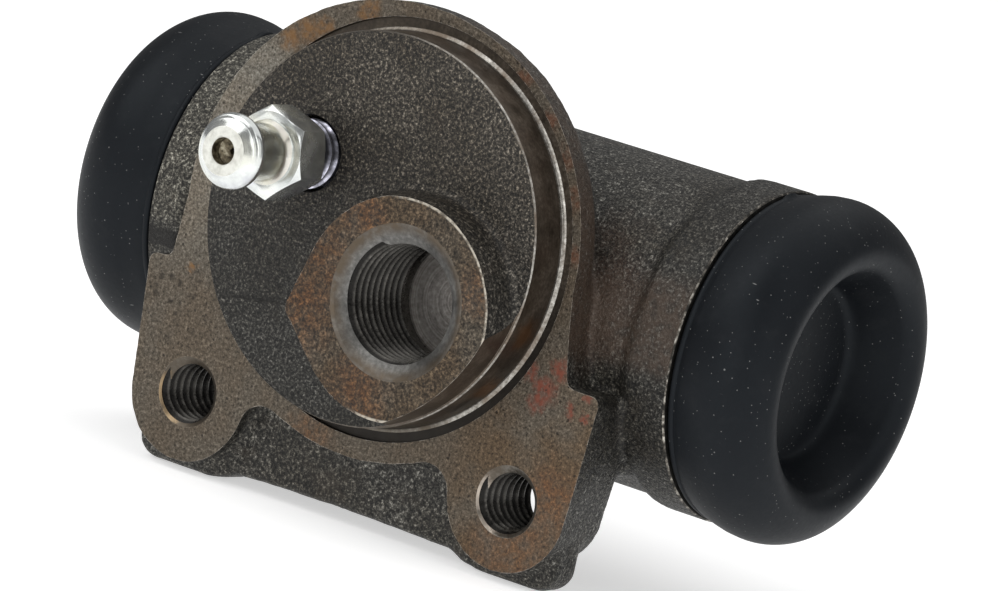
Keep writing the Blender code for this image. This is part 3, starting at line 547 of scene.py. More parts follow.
def zinc_thread():
    """The screw's thread: near black at the root and the neck, with whitish violet painted highlights on the crests.
    """
    m = Mat("zinc_plate_thread")
    n1 = m.noise(900, 3.0, 0.6)
    # painted highlight: the ramp's whitish violet top, which shows on the crests
    base = m.ramp(n1, (0.36, (0.12, 0.12, 0.135)), (0.54, (0.34, 0.34, 0.40)), (0.68, (0.80, 0.79, 0.92)))
    r = m.from_axis("Y", BLEED_X, BLEED_Z)
    # near black below the crests
    base = m.mix(m.step(r, 0.00290, 0.00270, 0.0, 0.85), base, (0.010, 0.010, 0.011))
    return m.done(base, 0.9, 0.24, m.bump(n1, 0.00001, 1.0))


def zinc_bore():
    m = Mat("zinc_plate_bore")
    n1 = m.noise(1500, 3.0, 0.65)
    base = m.ramp(n1, (0.38, (0.040, 0.030, 0.018)), (0.52, (0.17, 0.14, 0.088)), (0.66, (0.46, 0.42, 0.31)))
    return m.done(base, 0.6, 0.45, m.bump(n1, 0.00005, 1.0))


def zinc_tip():
    m = Mat("zinc_plate_tip")
    n1 = m.noise(1700, 3.0, 0.6)
    base = m.ramp(n1, (0.36, (0.62, 0.62, 0.56)), (0.60, (0.80, 0.80, 0.74)))
    return m.done(base, 0.35, 0.45, m.bump(n1, 0.000012, 1.0))


def piston_alloy():
    m = Mat("piston_alloy_turned")
    n = m.node("ShaderNodeMapping")
    m.put(n.inputs["Vector"], m.co)
    n.inputs["Scale"].default_value = (7000, 90, 90)
    lines = m.noise(1.0, 2.0, 0.6, vec=n.outputs[0])
    mid = m.noise(350, 3.0, 0.6)
    base = m.ramp(m.math("ADD", m.math("MULTIPLY", lines, 0.5), m.math("MULTIPLY", mid, 0.5)),
                  (0.38, (0.46, 0.45, 0.43)), (0.62, (0.70, 0.69, 0.67)))
    return m.done(base, 1.0, m.step(mid, 0.3, 0.7, 0.28, 0.40), m.bump(lines, 0.00001, 1.0))


def seal_rubber():
    m = Mat("seal_rubber_skin")
    n1 = m.noise(900, 3.0, 0.6)
    base = m.ramp(n1, (0.38, (0.009, 0.009, 0.010)), (0.62, (0.020, 0.020, 0.021)))
    return m.done(base, 0.0, m.step(n1, 0.3, 0.7, 0.38, 0.52), m.bump(n1, 0.00002, 1.0))


def spring_steel():
    m = Mat("spring_steel_drawn")
    n1 = m.noise(1200, 3.0, 0.6)
    base = m.ramp(n1, (0.38, (0.34, 0.33, 0.32)), (0.62, (0.58, 0.57, 0.56)))
    return m.done(base, 1.0, m.step(n1, 0.3, 0.7, 0.26, 0.40), m.bump(n1, 0.00001, 1.0))


def combine(self, value, scale):
    """A coordinate that changes only with value, for rings."""
    n = self.node("ShaderNodeCombineXYZ")
    self.put(n.inputs[0], self.math("MULTIPLY", value, scale))
    return n.outputs[0]


Mat.combine = combine

CAST, FACED, TURNED, BRIGHT, SINK, PORT_FLOOR, THREAD, BORE, PAINTED_SHADE, EDGE, GROOVE = range(11)
IRON = [cast_iron(), faced_iron(), turned_iron(), bright_iron(), sink_iron(), floor_iron(), thread_iron(), bore_iron(),
        painted_shade_iron(), edge_iron(), groove_iron()]


# ==== shape helpers (mm) =======================================================
def mesh_object(name, verts, faces, index=None, mats=None):
    me = bpy.data.meshes.new(name)
    me.from_pydata([tuple(v) for v in verts], [], [tuple(f) for f in faces])
    for m in mats if mats is not None else IRON:
        me.materials.append(m)
    if index is not None:
        me.polygons.foreach_set("material_index", index if hasattr(index, "__len__") else [index] * len(me.polygons))
    bm = bmesh.new()
    bm.from_mesh(me)
    bmesh.ops.remove_doubles(bm, verts=bm.verts, dist=1e-5)
    bmesh.ops.recalc_face_normals(bm, faces=bm.faces)
    bm.to_mesh(me)
    bm.free()
    ob = bpy.data.objects.new(name, me)
    scene.collection.objects.link(ob)
    return ob


def around_y(x, z):
    return lambda c, s, t: (x + c, t, z + s)


def around_x(side=1):
    return lambda c, s, t: (side * t, BARREL_Y + c, BARREL_Z + s)


def lathe(name, profile, place, steps, index=CAST, closed=False, mats=None):
    """Turns (radius, distance) round an axis. index is one slot, or one for each step of the profile."""
    verts, rings = [], []
    for r, t in profile:
        if r < 1e-9:
            rings.append([len(verts)])
            verts.append(place(0.0, 0.0, t))
        else:
            rings.append(list(range(len(verts), len(verts) + steps)))
            verts += [place(r * math.cos(math.tau * k / steps), r * math.sin(math.tau * k / steps), t)
                      for k in range(steps)]
    pairs = list(zip(rings, rings[1:])) + ([(rings[-1], rings[0])] if closed else [])
    faces, slots = [], []
    for i, (a, b) in enumerate(pairs):
        if len(a) == 1 and len(b) == 1:
            continue
        for k in range(steps):
            j = (k + 1) % steps
            if len(a) == 1:
                faces.append((a[0], b[k], b[j]))
            elif len(b) == 1:
                faces.append((a[k], b[0], a[j]))
            else:
                faces.append((a[k], b[k], b[j], a[j]))
            slots.append(index[i] if isinstance(index, (list, tuple)) else index)
    return mesh_object(name, verts, faces, slots, mats)


def prism(name, outline, y0, y1, index=CAST, grow=1.0, about=(0, 0), back=None):
    """A flat outline in X and Z from y0 to y1; grow scales the y1 end for draft, or back replaces it."""
    n = len(outline)
    verts = [(x, y0, z) for x, z in outline]
    verts += [(about[0] + (x - about[0]) * grow, y1, about[1] + (z - about[1]) * grow) for x, z in back or outline]
    faces = [tuple(range(n)), tuple(range(2 * n - 1, n - 1, -1))]
    faces += [(i, (i + 1) % n, n + (i + 1) % n, n + i) for i in range(n)]
    return mesh_object(name, verts, faces, index)


def block(name, lo, hi, index=CAST):
    verts = [(x, y, z) for x in (lo[0], hi[0]) for y in (lo[1], hi[1]) for z in (lo[2], hi[2])]
    faces = [(0, 1, 3, 2), (4, 6, 7, 5), (0, 4, 5, 1), (2, 3, 7, 6), (0, 2, 6, 4), (1, 5, 7, 3)]
    return mesh_object(name, verts, faces, index)


def soften(ob, width, segments=3, angle=35):
    b = ob.modifiers.new("edges", "BEVEL")
    b.width, b.segments, b.limit_method, b.angle_limit = width, segments, "ANGLE", math.radians(angle)
    return apply_all(ob)


def apply_all(ob):
    bpy.context.view_layer.update()
    dg = bpy.context.evaluated_depsgraph_get()
    me = bpy.data.meshes.new_from_object(ob.evaluated_get(dg))
    old = ob.data
    ob.modifiers.clear()
    ob.data = me
    bpy.data.meshes.remove(old)
    return ob


def combine_solids(ob, others, operation, solver="MANIFOLD"):
    for o in others:
        m = ob.modifiers.new("cut", "BOOLEAN")
        m.operation, m.object, m.solver = operation, o, solver
    apply_all(ob)
    for o in others:
        me = o.data
        bpy.data.objects.remove(o, do_unlink=True)
        bpy.data.meshes.remove(me)
    return ob


def modifier(ob, kind, **settings):
    m = ob.modifiers.new(kind.lower(), kind)
    for k, v in settings.items():
        setattr(m, k, v)
    return m


def finish_piece(ob, sharp=32):
    """Smooth shading with sharp edges kept, then millimetres to metres."""
    me = ob.data
    me.transform(Matrix.Scale(0.001, 4))
    me.polygons.foreach_set("use_smooth", [True] * len(me.polygons))
    me.set_sharp_from_angle(angle=math.radians(sharp))
    bm = bmesh.new()
    bm.from_mesh(me)
    for e in bm.edges:
        f = e.link_faces
        if len(f) == 2 and f[0].material_index != f[1].material_index:
            e.smooth = False
    bm.to_mesh(me)
    bm.free()
    me.update()
    return ob


def arc(cx, cz, r, a0, a1, n):
    return [(cx + r * math.cos(math.radians(a0 + (a1 - a0) * i / n)),
             cz + r * math.sin(math.radians(a0 + (a1 - a0) * i / n))) for i in range(n + 1)]


def mirrored(right):
    return right + [(-x, z) for x, z in reversed(right) if x > 1e-6]


def drafted(outline, depth):
    """The outline moved inwards by depth(z) at each of its points; it runs anticlockwise."""
    out = []
    for i, p in enumerate(outline):
        a, b = outline[i - 1], outline[(i + 1) % len(outline)]
        one, two = Vector((p[0] - a[0], p[1] - a[1])).normalized(), Vector((b[0] - p[0], b[1] - p[1])).normalized()
        n = Vector((-one.y - two.y, one.x + two.x)) / (1 + one.dot(two))
        d = depth(p[1])
        out.append((p[0] + n.x * d, p[1] + n.y * d))
    return out


def outside_tangent(c0, r0, c1, r1, r):
    d = math.dist(c0, c1)
    a, b = r0 + r, r1 + r
    t = (a * a - b * b + d * d) / (2 * d)
    h = math.sqrt(max(a * a - t * t, 0.0))
    ux, uz = (c1[0] - c0[0]) / d, (c1[1] - c0[1]) / d
    px, pz = c0[0] + t * ux, c0[1] + t * uz
    one, two = (px + h * uz, pz - h * ux), (px - h * uz, pz + h * ux)
    return one if one[0] < two[0] else two


def pad_outline(n=3):
    rf = 2.3
    ring, ear = (0.0, SPIGOT_Z), (EAR_X, 0.0)
    c = outside_tangent(ring, PAD_ARC_R, ear, EAR_R, rf)
    a_ring = math.degrees(math.atan2(c[1] - ring[1], c[0] - ring[0]))
    a_ear = math.degrees(math.atan2(c[1] - ear[1], c[0] - ear[0])) % 360
    pts = arc(*ring, PAD_ARC_R, -90, a_ring, 8 * n)
    pts += arc(*c, rf, a_ring + 180, a_ear - 180, 7 * n)[1:]
    pts += arc(*ear, EAR_R, a_ear, 361, 20 * n)[1:]
    right = [(23.75, SHOULDER_Z - 0.5), (23.3, SHOULDER_Z), (20.3, SHOULDER_Z),
             (19.6, 13.8), (18.9, 18.4), (16.5, 22.0), (9.0, 29.0)]
    left = [(24.0, SHOULDER_Z - 0.5), (23.6, SHOULDER_Z), (21.7, SHOULDER_Z),
            (21.55, 14.0), (21.3, 18.0), (18.0, 22.0), (9.0, 29.0)]
    return pts + right + [(-x, z) for x, z in reversed(pts + left) if x > 1e-6]


def flange_outline():
    """The cast rim: nearly a circle, but it swells out on the left."""
    def ease(t):
        t = min(max(t, 0.0), 1.0)
        return t * t * (3 - 2 * t)

    pts = []
    for a in range(-90, 270, 2):
        k = ease((a - 70) / 115) if a < 200 else 1 - ease((a - 200) / 40)
        r = FLANGE_R + FLANGE_SWELL * k
        pts.append((r * math.cos(math.radians(a)), SPIGOT_Z + r * math.sin(math.radians(a))))
    return pts


def foot_outline():
    x1 = 22.2
    pts = [(0.0, WEB_Z), (11.4, WEB_Z - 0.25), (12.7, WEB_Z - 0.9), (14.6, FOOT_Z)]
    pts += arc(x1 - 2.0, FOOT_Z + 2.0, 2.0, -90, 0, 8)
    pts += [(x1, SHOULDER_Z - 0.4), (19.6, SHOULDER_Z - 0.4), (15.0, 15.0), (9.0, 20.0)]
    return mirrored(pts)


def boss_outline():
    c, tip, r = (BOSS_X, BOSS_Z), BOSS_TIP, BOSS_R
    d = math.dist(c, tip)
    mid = math.degrees(math.atan2(tip[1] - c[1], tip[0] - c[0]))
    half = math.degrees(math.acos(r / d))
    pts = arc(*c, r, mid + half, mid + 360 - half, 120)
    tr = 0.8
    k = 1 - tr / d
    tc = (c[0] + (tip[0] - c[0]) * k, c[1] + (tip[1] - c[1]) * k)
    return pts + arc(tc[0], tc[1], tr * 0.6, mid - half, mid + half, 6)


def thread(name, place, radius, crest, pitch, t0, t1, index, mats=None, per=56, root=0.46, top=0.07, fade=0.35):
    """A right-hand helical ridge, a closed shell: its foot is at radius, its crest at crest.
    place(c, s, t) turns (cosine, sine, distance) into a point."""
    turns = abs(t1 - t0) / pitch
    n = int(turns * per)
    sink = 0.03 if crest < radius else -0.03
    verts, faces = [], []
    for i in range(n + 1):
        a = math.tau * i / per
        t = t0 + (t1 - t0) * i / n
        k = min(1.0, i / (fade * per), (n - i) / (fade * per))
        k = k * k * (3 - 2 * k)
        top_r = radius + sink * 0.5 + (crest - radius - sink * 0.5) * k
        for r, dt in ((radius + sink, -root * pitch), (top_r, -top * pitch), (top_r, top * pitch), (radius + sink, root * pitch)):
            verts.append(place(r * math.cos(a), r * math.sin(a), t + dt))
    for i in range(n):
        b = 4 * i
        for j in range(4):
            faces.append((b + j, b + (j + 1) % 4, b + 4 + (j + 1) % 4, b + 4 + j))
    faces += [(3, 2, 1, 0), tuple(4 * n + j for j in range(4))]
    return mesh_object(name, verts, faces, index, mats)


def join(ob, others):
    """One mesh of several closed shells."""
    bm = bmesh.new()
    for o in [ob] + others:
        bm.from_mesh(o.data)
    bm.to_mesh(ob.data)
    bm.free()
    for o in others:
        me = o.data
        bpy.data.objects.remove(o, do_unlink=True)
        bpy.data.meshes.remove(me)
    return ob


# ==== housing ==================================================================
def casting():
    body = lathe("housing_casting", [
        (0, -SPIGOT_H), (17.6, -SPIGOT_H), (17.8, 0.0), (SPIGOT_R, 2.6), (0, 2.6)], around_y(0, SPIGOT_Z), 160)
    rim = soften(prism("rim", flange_outline(), -3.0, FLANGE_T), 1.9, 3, 50)
    hub = lathe("hub", [(0, 1.5), (13.4, 1.5), (13.4, 9.9), (12.8, 10.5), (0, 10.5)], around_y(0, SPIGOT_Z), 96)
    nip = lathe("nip", [(0, 2.0), (6.3, 2.0), (6.3, 11.4), (5.6, 12.0), (0, 12.0)], around_y(BLEED_X, BLEED_Z), 64)
    front = pad_outline()
    back = drafted(front, lambda z: LUG_DRAFT - (LUG_DRAFT - 0.2) * min(max((z - 3.0) / 5.0, 0.0), 1.0))
    pad = soften(prism("pad", front, -1.2, LUG_T, back=back), 0.55, 2, 50)
    foot = soften(prism("foot", foot_outline(), 1.3, 5.3), 0.7, 2, 50)
    gusset = soften(block("gusset", (-22.83, 4.67, 3.37), (22.83, 15.03, SHOULDER_Z + 0.57)), 1.0, 3)
    barrel = lathe("barrel", [
        (0, -33.4), (COLLAR_R, -33.4), (COLLAR_R, -COLLAR_X0), (BARREL_R, -COLLAR_X0 + 0.8),
        (BARREL_R, COLLAR_X0 - 0.8), (COLLAR_R, COLLAR_X0), (COLLAR_R, 33.4), (0, 33.4)], around_x(), 128)
    boss = prism("boss", boss_outline(), PORT_FACE_Y - 0.9, 1.0, CAST, 1.15, (BOSS_X, BOSS_Z))
    combine_solids(body, [rim, hub, nip, barrel, gusset, foot, pad, boss], "UNION")
    voxel = 0.29
    modifier(body, "REMESH", mode="VOXEL", voxel_size=voxel, use_smooth_shade=True)
    modifier(body, "SMOOTH", factor=0.5, iterations=11)
    modifier(body, "DECIMATE", ratio=0.36)
    apply_all(body)
    # the sand skin: shallow lumps in the metal itself; finer grain is in the material
    me = body.data
    co = np.empty(len(me.vertices) * 3, np.float32)
    no = np.empty(len(me.vertices) * 3, np.float32)
    me.vertices.foreach_get("co", co)
    me.vertex_normals.foreach_get("vector", no)
    co, no = co.reshape(-1, 3), no.reshape(-1, 3)
    lift = np.array([0.055 * noise.noise(Vector(p) * 0.45) + 0.032 * noise.noise(Vector(p) * 1.25)
                     + 0.022 * noise.noise(Vector(p) * 2.6) for p in co.tolist()], np.float32)
    me.vertices.foreach_set("co", (co + no * lift[:, None]).ravel())
    for m in IRON[len(me.materials):]:
        me.materials.append(m)
    me.polygons.foreach_set("material_index", [CAST] * len(me.polygons))
    return body


def housing():
    body = casting()
    g, r = GROOVE_D, SPIGOT_R
    face = lathe("face", [
        (r - 0.24, -9.5), (60.0, -9.5), (60.0, 0.0), (GROOVE_R, 0.0), (GROOVE_R - 0.05, g),
        (r + 0.34, g), (r + 0.16, g - 0.05), (r + 0.03, g - 0.18), (r - 0.01, g - 0.36), (r - 0.06, -SPIGOT_H + 0.18),
        (r - 0.15, -SPIGOT_H + 0.02), (r - 0.24, -SPIGOT_H - 0.10)],
        around_y(0, SPIGOT_Z), 192, [FACED, FACED, FACED, GROOVE, GROOVE, BRIGHT, BRIGHT, BRIGHT, TURNED, BRIGHT, TURNED, TURNED],
        closed=True)
    top = lathe("top", [(0, -9.0), (15, -9.0), (15, PORT_FACE_Y), (0, PORT_FACE_Y)], around_y(BOSS_X, BOSS_Z), 64, FACED)
    bore = lathe("bore", [
        (0, -36), (BORE_R, -36), (BORE_R, 36), (0, 36)], around_x(), 128, BORE)
    # the necks' grooves and the collars' end faces under the boots' lips get the near-black painted shade
    necks = [lathe("neck", [
        (BORE_R - 1.0, NECK_X), (NECK_R - 0.5, NECK_X), (NECK_R, NECK_X - 0.5), (NECK_R, 30.7), (NECK_GROOVE_R, 30.7),
        (NECK_GROOVE_R, end), (COLLAR_R - 0.14, end), (COLLAR_R + 0.22, end - 0.30), (20.0, end - 0.30), (20.0, 36.0),
        (BORE_R - 1.0, 36.0)],
        around_x(s), 128, [FACED, FACED, FACED, PAINTED_SHADE, PAINTED_SHADE, PAINTED_SHADE, EDGE, EDGE, EDGE, FACED, FACED], closed=True)
        for s, end in ((1, END_X), (-1, END_X - LEFT_SHORT))]
    # each tapped hole is drilled at the thread's minor radius, and then the tap's helix is cut
    y, minor = PORT_FACE_Y, 4.93
    port = lathe("port", [
        (0, y - 1.2), (7.0, y - 1.2), (6.74, y - 0.06), (6.62, y + 0.005), (6.50, y + 0.045), (6.38, y + 0.10),
        (6.26, y + 0.17), (minor, y + 1.02), (minor, PORT_FLOOR_Y - 0.15), (minor - 0.1, PORT_FLOOR_Y), (0, PORT_FLOOR_Y)],
        around_y(PORT_X, PORT_Z), 144, [FACED, FACED, SINK, SINK, SINK, SINK, SINK, THREAD, PORT_FLOOR, PORT_FLOOR])
    passage = lathe("passage", [(0, 2.0), (1.3, 2.0), (1.3, 12.0), (0, 12.0)], around_y(PORT_X + PASSAGE_X, PORT_Z), 32, BORE)
    # the bleed hole's chamfer and wall get the near-black painted shade, a ring of shadow round the screw
    bleed = lathe("bleed", [
        (0, -SPIGOT_H - 1.0), (4.1, -SPIGOT_H - 1.0), (3.15, -SPIGOT_H + 0.25), (3.15, 5.8), (2.7, 6.2), (1.25, 8.2),
        (1.25, 14.0), (0, 14.0)], around_y(BLEED_X, BLEED_Z), 64, [PAINTED_SHADE, PAINTED_SHADE, PAINTED_SHADE, THREAD, BORE, BORE, BORE])
    ears = [lathe("ear", [
        (0, -0.9), (3.9, -0.9), (3.14, -0.05), (3.04, 0.01), (2.94, 0.08), (2.40, 0.56), (2.40, 9.5), (0, 9.5)],
        around_y(x, 0), 96, [FACED, FACED, BRIGHT, BRIGHT, BRIGHT, THREAD, THREAD]) for x in (-EAR_X, EAR_X)]
    taps = [thread("port_tap", around_y(PORT_X, PORT_Z), minor, PORT_R, 0.86, y - 0.5, PORT_FLOOR_Y - 0.9, THREAD, per=84)]
    taps += [thread("ear_tap", around_y(x, 0), 2.40, 2.86, 0.95, -0.3, LUG_T + 0.8, THREAD, per=64) for x in (-EAR_X, EAR_X)]
    taps += [thread("bleed_tap", around_y(BLEED_X, BLEED_Z), 3.15, 3.38, 1.0, -SPIGOT_H - 0.3, 4.8, THREAD, per=48)]
    combine_solids(body, [face, top] + necks + [bore, port, passage, bleed] + ears + taps, "DIFFERENCE")
    body.name = body.data.name = "housing_body"
    finish_piece(body)
    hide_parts("housing")
    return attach(body, "housing")


# ==== bleed screw ==============================================================
def bleed_screw():
    t = BLEED_TIP_Y
    ax = around_y(BLEED_X, BLEED_Z)
    mats = [zinc(), zinc_bore(), zinc_tip(), zinc_thread()]
    Z, B, T, K = 0, 1, 2, 3
    prof = [(1.15, t + 0.1), (1.22, t + 0.02), (1.95, t + 0.02), (2.1, t + 0.1), (2.4, t + 0.36), (2.72, t + 0.62), (2.78, t + 0.64),
            (2.82, t + 0.70), (3.02, t + 0.88), (3.07, t + 0.90), (3.11, t + 0.97), (3.22, t + 1.18), (3.25, t + 1.35),
            (3.22, t + 1.62), (3.05, t + 1.86), (2.7, t + 2.12), (2.47, t + 2.36), (2.41, t + 2.65), (2.40, HEX_Y0 - 1.1), (2.47, HEX_Y0 - 0.55),
            (2.75, HEX_Y0 - 0.15), (2.75, HEX_Y1 - 0.3), (2.62, HEX_Y1 + 0.05), (2.52, HEX_Y1 + 0.4), (2.52, 4.6), (2.3, 5.1), (2.3, 5.8), (0.95, 7.8),
            (0.6, 7.8), (0.30, t + 1.55), (1.15, t + 1.15)]
    slots = [T, T, T] + [Z] * 19 + [K] * 6 + [B, B, B]
    body = lathe("bleed_screw_body", prof, ax, 96, slots, closed=True, mats=mats)
    # hexagon, 7 mm across flats, with both corners chamfered by the same cone
    hx = [(BLEED_X + 3.5 / math.cos(math.pi / 6) * math.cos(math.radians(40 + 60 * k)),
           BLEED_Z + 3.5 / math.cos(math.pi / 6) * math.sin(math.radians(40 + 60 * k))) for k in range(6)]
    n = 6
    verts = [(x, HEX_Y0, z) for x, z in hx] + [(x, HEX_Y1, z) for x, z in hx]
    faces = [tuple(range(n)), tuple(range(2 * n - 1, n - 1, -1))] + [(i, (i + 1) % n, n + (i + 1) % n, n + i) for i in range(n)]
    hexa = mesh_object("hexagon", verts, faces, Z, mats)
    cone = lathe("cone", [(0, HEX_Y0 - 0.06), (3.40, HEX_Y0 - 0.06), (4.25, HEX_Y0 + 0.5), (4.25, HEX_Y1 - 0.45), (3.5, HEX_Y1 + 0.05), (0, HEX_Y1 + 0.05)], ax, 96, Z, mats=mats)
    combine_solids(hexa, [cone], "INTERSECT")
    hole = lathe("hex_hole", [(0, HEX_Y0 - 1), (2.6, HEX_Y0 - 1), (2.6, HEX_Y1 + 1), (0, HEX_Y1 + 1)], ax, 48, Z, mats=mats)
    combine_solids(hexa, [hole], "DIFFERENCE")
    soften(hexa, 0.07, 2, 20)
    ridge = thread("ridge", ax, 2.52, BLEED_R, 1.0, HEX_Y1 + 0.75, 4.3, K, mats, per=64, root=0.46, top=0.07, fade=0.5)
    join(body, [hexa, ridge])
    finish_piece(body, 28)
    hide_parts("bleed_screw")
    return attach(body, "bleed_screw")


# ==== boots ====================================================================
def smooth_run(points, per=4):
    """A Catmull-Rom curve through points (r, x)."""
    p = [points[0]] + list(points) + [points[-1]]
    out = []
    for i in range(1, len(p) - 2):
        a, b, c, d = p[i - 1], p[i], p[i + 1], p[i + 2]
        for k in range(per):
            t = k / per
            out.append(tuple(0.5 * (2 * b[j] + (c[j] - a[j]) * t + (2 * a[j] - 5 * b[j] + 4 * c[j] - d[j]) * t * t
                                    + (3 * b[j] - a[j] - 3 * c[j] + d[j]) * t ** 3) for j in (0, 1)))
    return out + [points[-1]]


def boot(side, name, mat):
    def turn(r, x, radius, a):
        return r + radius * math.cos(math.radians(a)), x + radius * math.sin(math.radians(a))

    roll = [turn(ROLL_RC, ROLL_X, ROLL_R, a) for a in np.linspace(-4, LIP_A0, 30)]
    c = turn(*roll[-1], -LIP_R, LIP_A0)
    ridge = [turn(*c, LIP_R, a) for a in np.linspace(LIP_A0, LIP_A1, 25)[1:]]
    m = 0.0 if side > 0 else LEFT_SHORT
    lip = [(11.62, 28.22 - m), (12.4, 28.14 - m), (13.95, 28.12 - m), (14.18, 28.16 - m), (14.32, 28.26 - m),
           (14.38, 28.42 - m), (14.38, 28.60 - m), (14.31, 28.72 - m), (14.34, 28.82 - m), (14.46, 29.05 - 0.6 * m),
           (14.58, 29.4), (14.76, 30.1), (14.93, 30.9)]
    dish = smooth_run([(9.13, 34.67), (8.70, 33.75), (8.27, 32.80), (7.98, 32.15), (7.72, 31.76), (7.35, 31.54), (6.8, 31.47),
                       (5.0, 31.46), (2.0, 31.46)], 4)
    outer = lip + roll + ridge + dish + [(0.0, 31.46)]
    inner = [(0.0, 29.6), (8.3, 29.6), (8.3, 28.4), (7.6, 28.4), (7.6, 27.9), (9.2, 27.9), (9.3, 30.0), (9.6, 32.4), (10.1, 33.8),
             (10.6, 34.6), (11.4, 35.1), (12.2, 34.8), (12.8, 34.1), (13.2, 33.3), (13.5, 31.8), (13.1, 30.35), (11.62, 30.3)]
    run = outer + inner
    steps = 160
    ob = lathe(name, run, around_x(side), steps, 0, closed=True, mats=[mat])
    # where the lip, the roll and the ridge end in the run of rubber, an easing curve, and each point's radius; nothing
    # below uses them
    n_out = len(outer)
    i0, i1 = len(lip), len(lip) + len(roll) + len(ridge)

    def ease(v):
        v = min(1.0, max(0.0, v))
        return v * v * (3 - 2 * v)
    me = ob.data
    for v in me.vertices:
        x, ry, rz = v.co.x * side, v.co.y - BARREL_Y, v.co.z - BARREL_Z
        r = math.hypot(ry, rz)
    # slight unevenness of a moulded part, and a crumb of flash at the top of the lip
    for v in me.vertices:
        d = Vector((0, v.co.y - BARREL_Y, v.co.z - BARREL_Z))
        r = d.length
        if r > 11.6:
            q = noise.noise(v.co * 0.11 + Vector((3.1 * side, 0, 0))) * 0.05
            a = math.degrees(math.atan2(d.z, d.y))
            xs = v.co.x * side
            if xs < 28.6 - m and r > 13.4:
                tag = math.exp(-((a - 100) / 1.6) ** 2) * 0.42 + math.exp(-((a - 96.5) / 0.9) ** 2) * 0.22
                q += tag
            v.co += d.normalized() * q
    finish_piece(ob, 40)
    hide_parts(("right" if side > 0 else "left") + "_dust_boot")
    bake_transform(ob)
    # the boot rolls back on itself
    return ob


# ==== cup spring, as two halves, one on each side ================================
def spring_half(side, mat):
    turns, half, dead, wire, rad = 7.0, 11.0, 0.75, 0.55, 5.6
    per, ring = 40, 12
    pitch = 2 * (half - 1.15 * dead) / (turns - 2 * dead)
    pts = []
    n = int(turns * per)
    for i in range(n + 1):
        t = i / per
        if t < dead:
            x = -half + 1.15 * t
        elif t > turns - dead:
            x = half - 1.15 * (turns - t)
        else:
            x = -half + 1.15 * dead + pitch * (t - dead)
        a = math.tau * t
        pts.append(Vector((x, BARREL_Y + rad * math.cos(a), BARREL_Z + rad * math.sin(a))))
    mid = n // 2
    pts = pts[mid:] if side > 0 else pts[:mid + 1]
    verts, faces = [], []
    for i, p in enumerate(pts):
        d = (pts[min(i + 1, len(pts) - 1)] - pts[max(i - 1, 0)]).normalized()
        out = Vector((0, p.y - BARREL_Y, p.z - BARREL_Z)).normalized()
        side_dir = d.cross(out).normalized()
        out = side_dir.cross(d)
        verts += [p + wire * (math.cos(math.tau * k / ring) * out + math.sin(math.tau * k / ring) * side_dir) for k in range(ring)]
    for i in range(len(pts) - 1):
        for k in range(ring):
            j = (k + 1) % ring
            faces.append((i * ring + k, i * ring + j, (i + 1) * ring + j, (i + 1) * ring + k))
    faces += [tuple(range(ring - 1, -1, -1)), tuple(range((len(pts) - 1) * ring, len(pts) * ring))]
    name = "right" if side > 0 else "left"
    ob = mesh_object("cup_spring_" + name + "_half", verts, faces, 0, [mat])
    finish_piece(ob, 50)
    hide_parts("cup_spring")
    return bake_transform(ob)


housing()
bleed_screw()
skin = rubber()
boot(1, "right_boot", skin)
boot(-1, "left_boot", skin)
steel = spring_steel()
spring_half(1, steel)
spring_half(-1, steel)

alloy, cup = piston_alloy(), seal_rubber()
for side in ("left", "right"):
    for node, mat in ((side + "_piston", alloy), (side + "_cup_seal", cup), (side + "_cup_expander", steel)):
        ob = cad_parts[node]
        for s in ob.material_slots:
            s.material = mat
        if not ob.material_slots:
            ob.data.materials.append(mat)


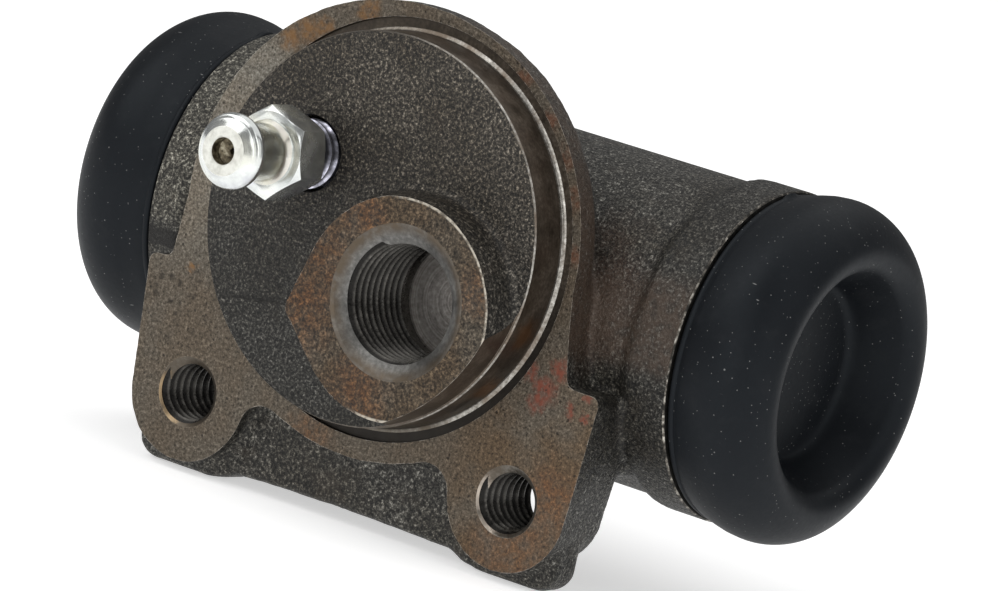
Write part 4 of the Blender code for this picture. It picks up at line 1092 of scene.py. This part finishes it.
# ==== floor, light, camera =======================================================
def floor():
    me = bpy.data.meshes.new("floor")
    z = CAD_BOX[0].z - 0.0001
    s = 4.0
    me.from_pydata([(-s, -s, z), (s, -s, z), (s, s, z), (-s, s, z)], [], [(0, 1, 2, 3)])
    ob = bpy.data.objects.new("floor", me)
    scene.collection.objects.link(ob)
    m = Mat("floor_paper")
    n1 = m.noise(40, 2.0)
    me.materials.append(m.done(m.ramp(n1, (0.3, (0.84, 0.84, 0.84)), (0.7, (0.88, 0.88, 0.88))), 0.0, 0.85, Specular_IOR_Level=0.2,
                               Emission_Color=(1.0, 1.0, 1.0, 1.0), Emission_Strength=0.52))


def area(name, place, aim, size, power, color=(1, 1, 1), size_y=None):
    data = bpy.data.lights.new(name, "AREA")
    data.shape = "RECTANGLE"
    data.size, data.size_y = size, size_y or size
    data.energy = power
    data.color = color
    ob = bpy.data.objects.new(name, data)
    ob.location = place
    ob.rotation_euler = (Vector(aim) - Vector(place)).to_track_quat("-Z", "Y").to_euler()
    scene.collection.objects.link(ob)
    return ob


floor()
mid = (0.0, 0.012, 0.016)
area("key", (-0.45, -0.55, 0.75), mid, 0.9, 4.6)
area("fill", (0.75, -0.25, 0.35), mid, 0.8, 1.6)
area("top", (0.05, 0.25, 0.80), mid, 1.1, 3.2)
area("front", (0.12, -0.90, 0.22), mid, 0.5, 1.5)

world = bpy.data.worlds.new("studio")
scene.world = world
world.use_nodes = True
bg = world.node_tree.nodes["Background"]
bg.inputs["Color"].default_value = (1.0, 1.0, 1.0, 1.0)
bg.inputs["Strength"].default_value = 0.24

cam = bpy.data.cameras.new("camera")
cam.sensor_fit = "HORIZONTAL"
cam.sensor_width = 36.0
cam.lens = 255.973
cam.clip_start, cam.clip_end = 0.01, 20.0
eye = bpy.data.objects.new("camera", cam)
right = Vector((0.8062430, 0.5495821, 0.2189333))
down = Vector((0.2627328, -0.0010640, -0.9648680))
ahead = Vector((-0.5300412, 0.8354391, -0.1452511))
turn = Matrix((right, -down, -ahead)).transposed().to_4x4()
eye.matrix_world = Matrix.Translation((0.32675519, -0.49631553, 0.10275083)) @ turn
scene.collection.objects.link(eye)
scene.camera = eye

scene.view_settings.view_transform = "Standard"
scene.view_settings.look = "None"
scene.view_settings.exposure = 0.0
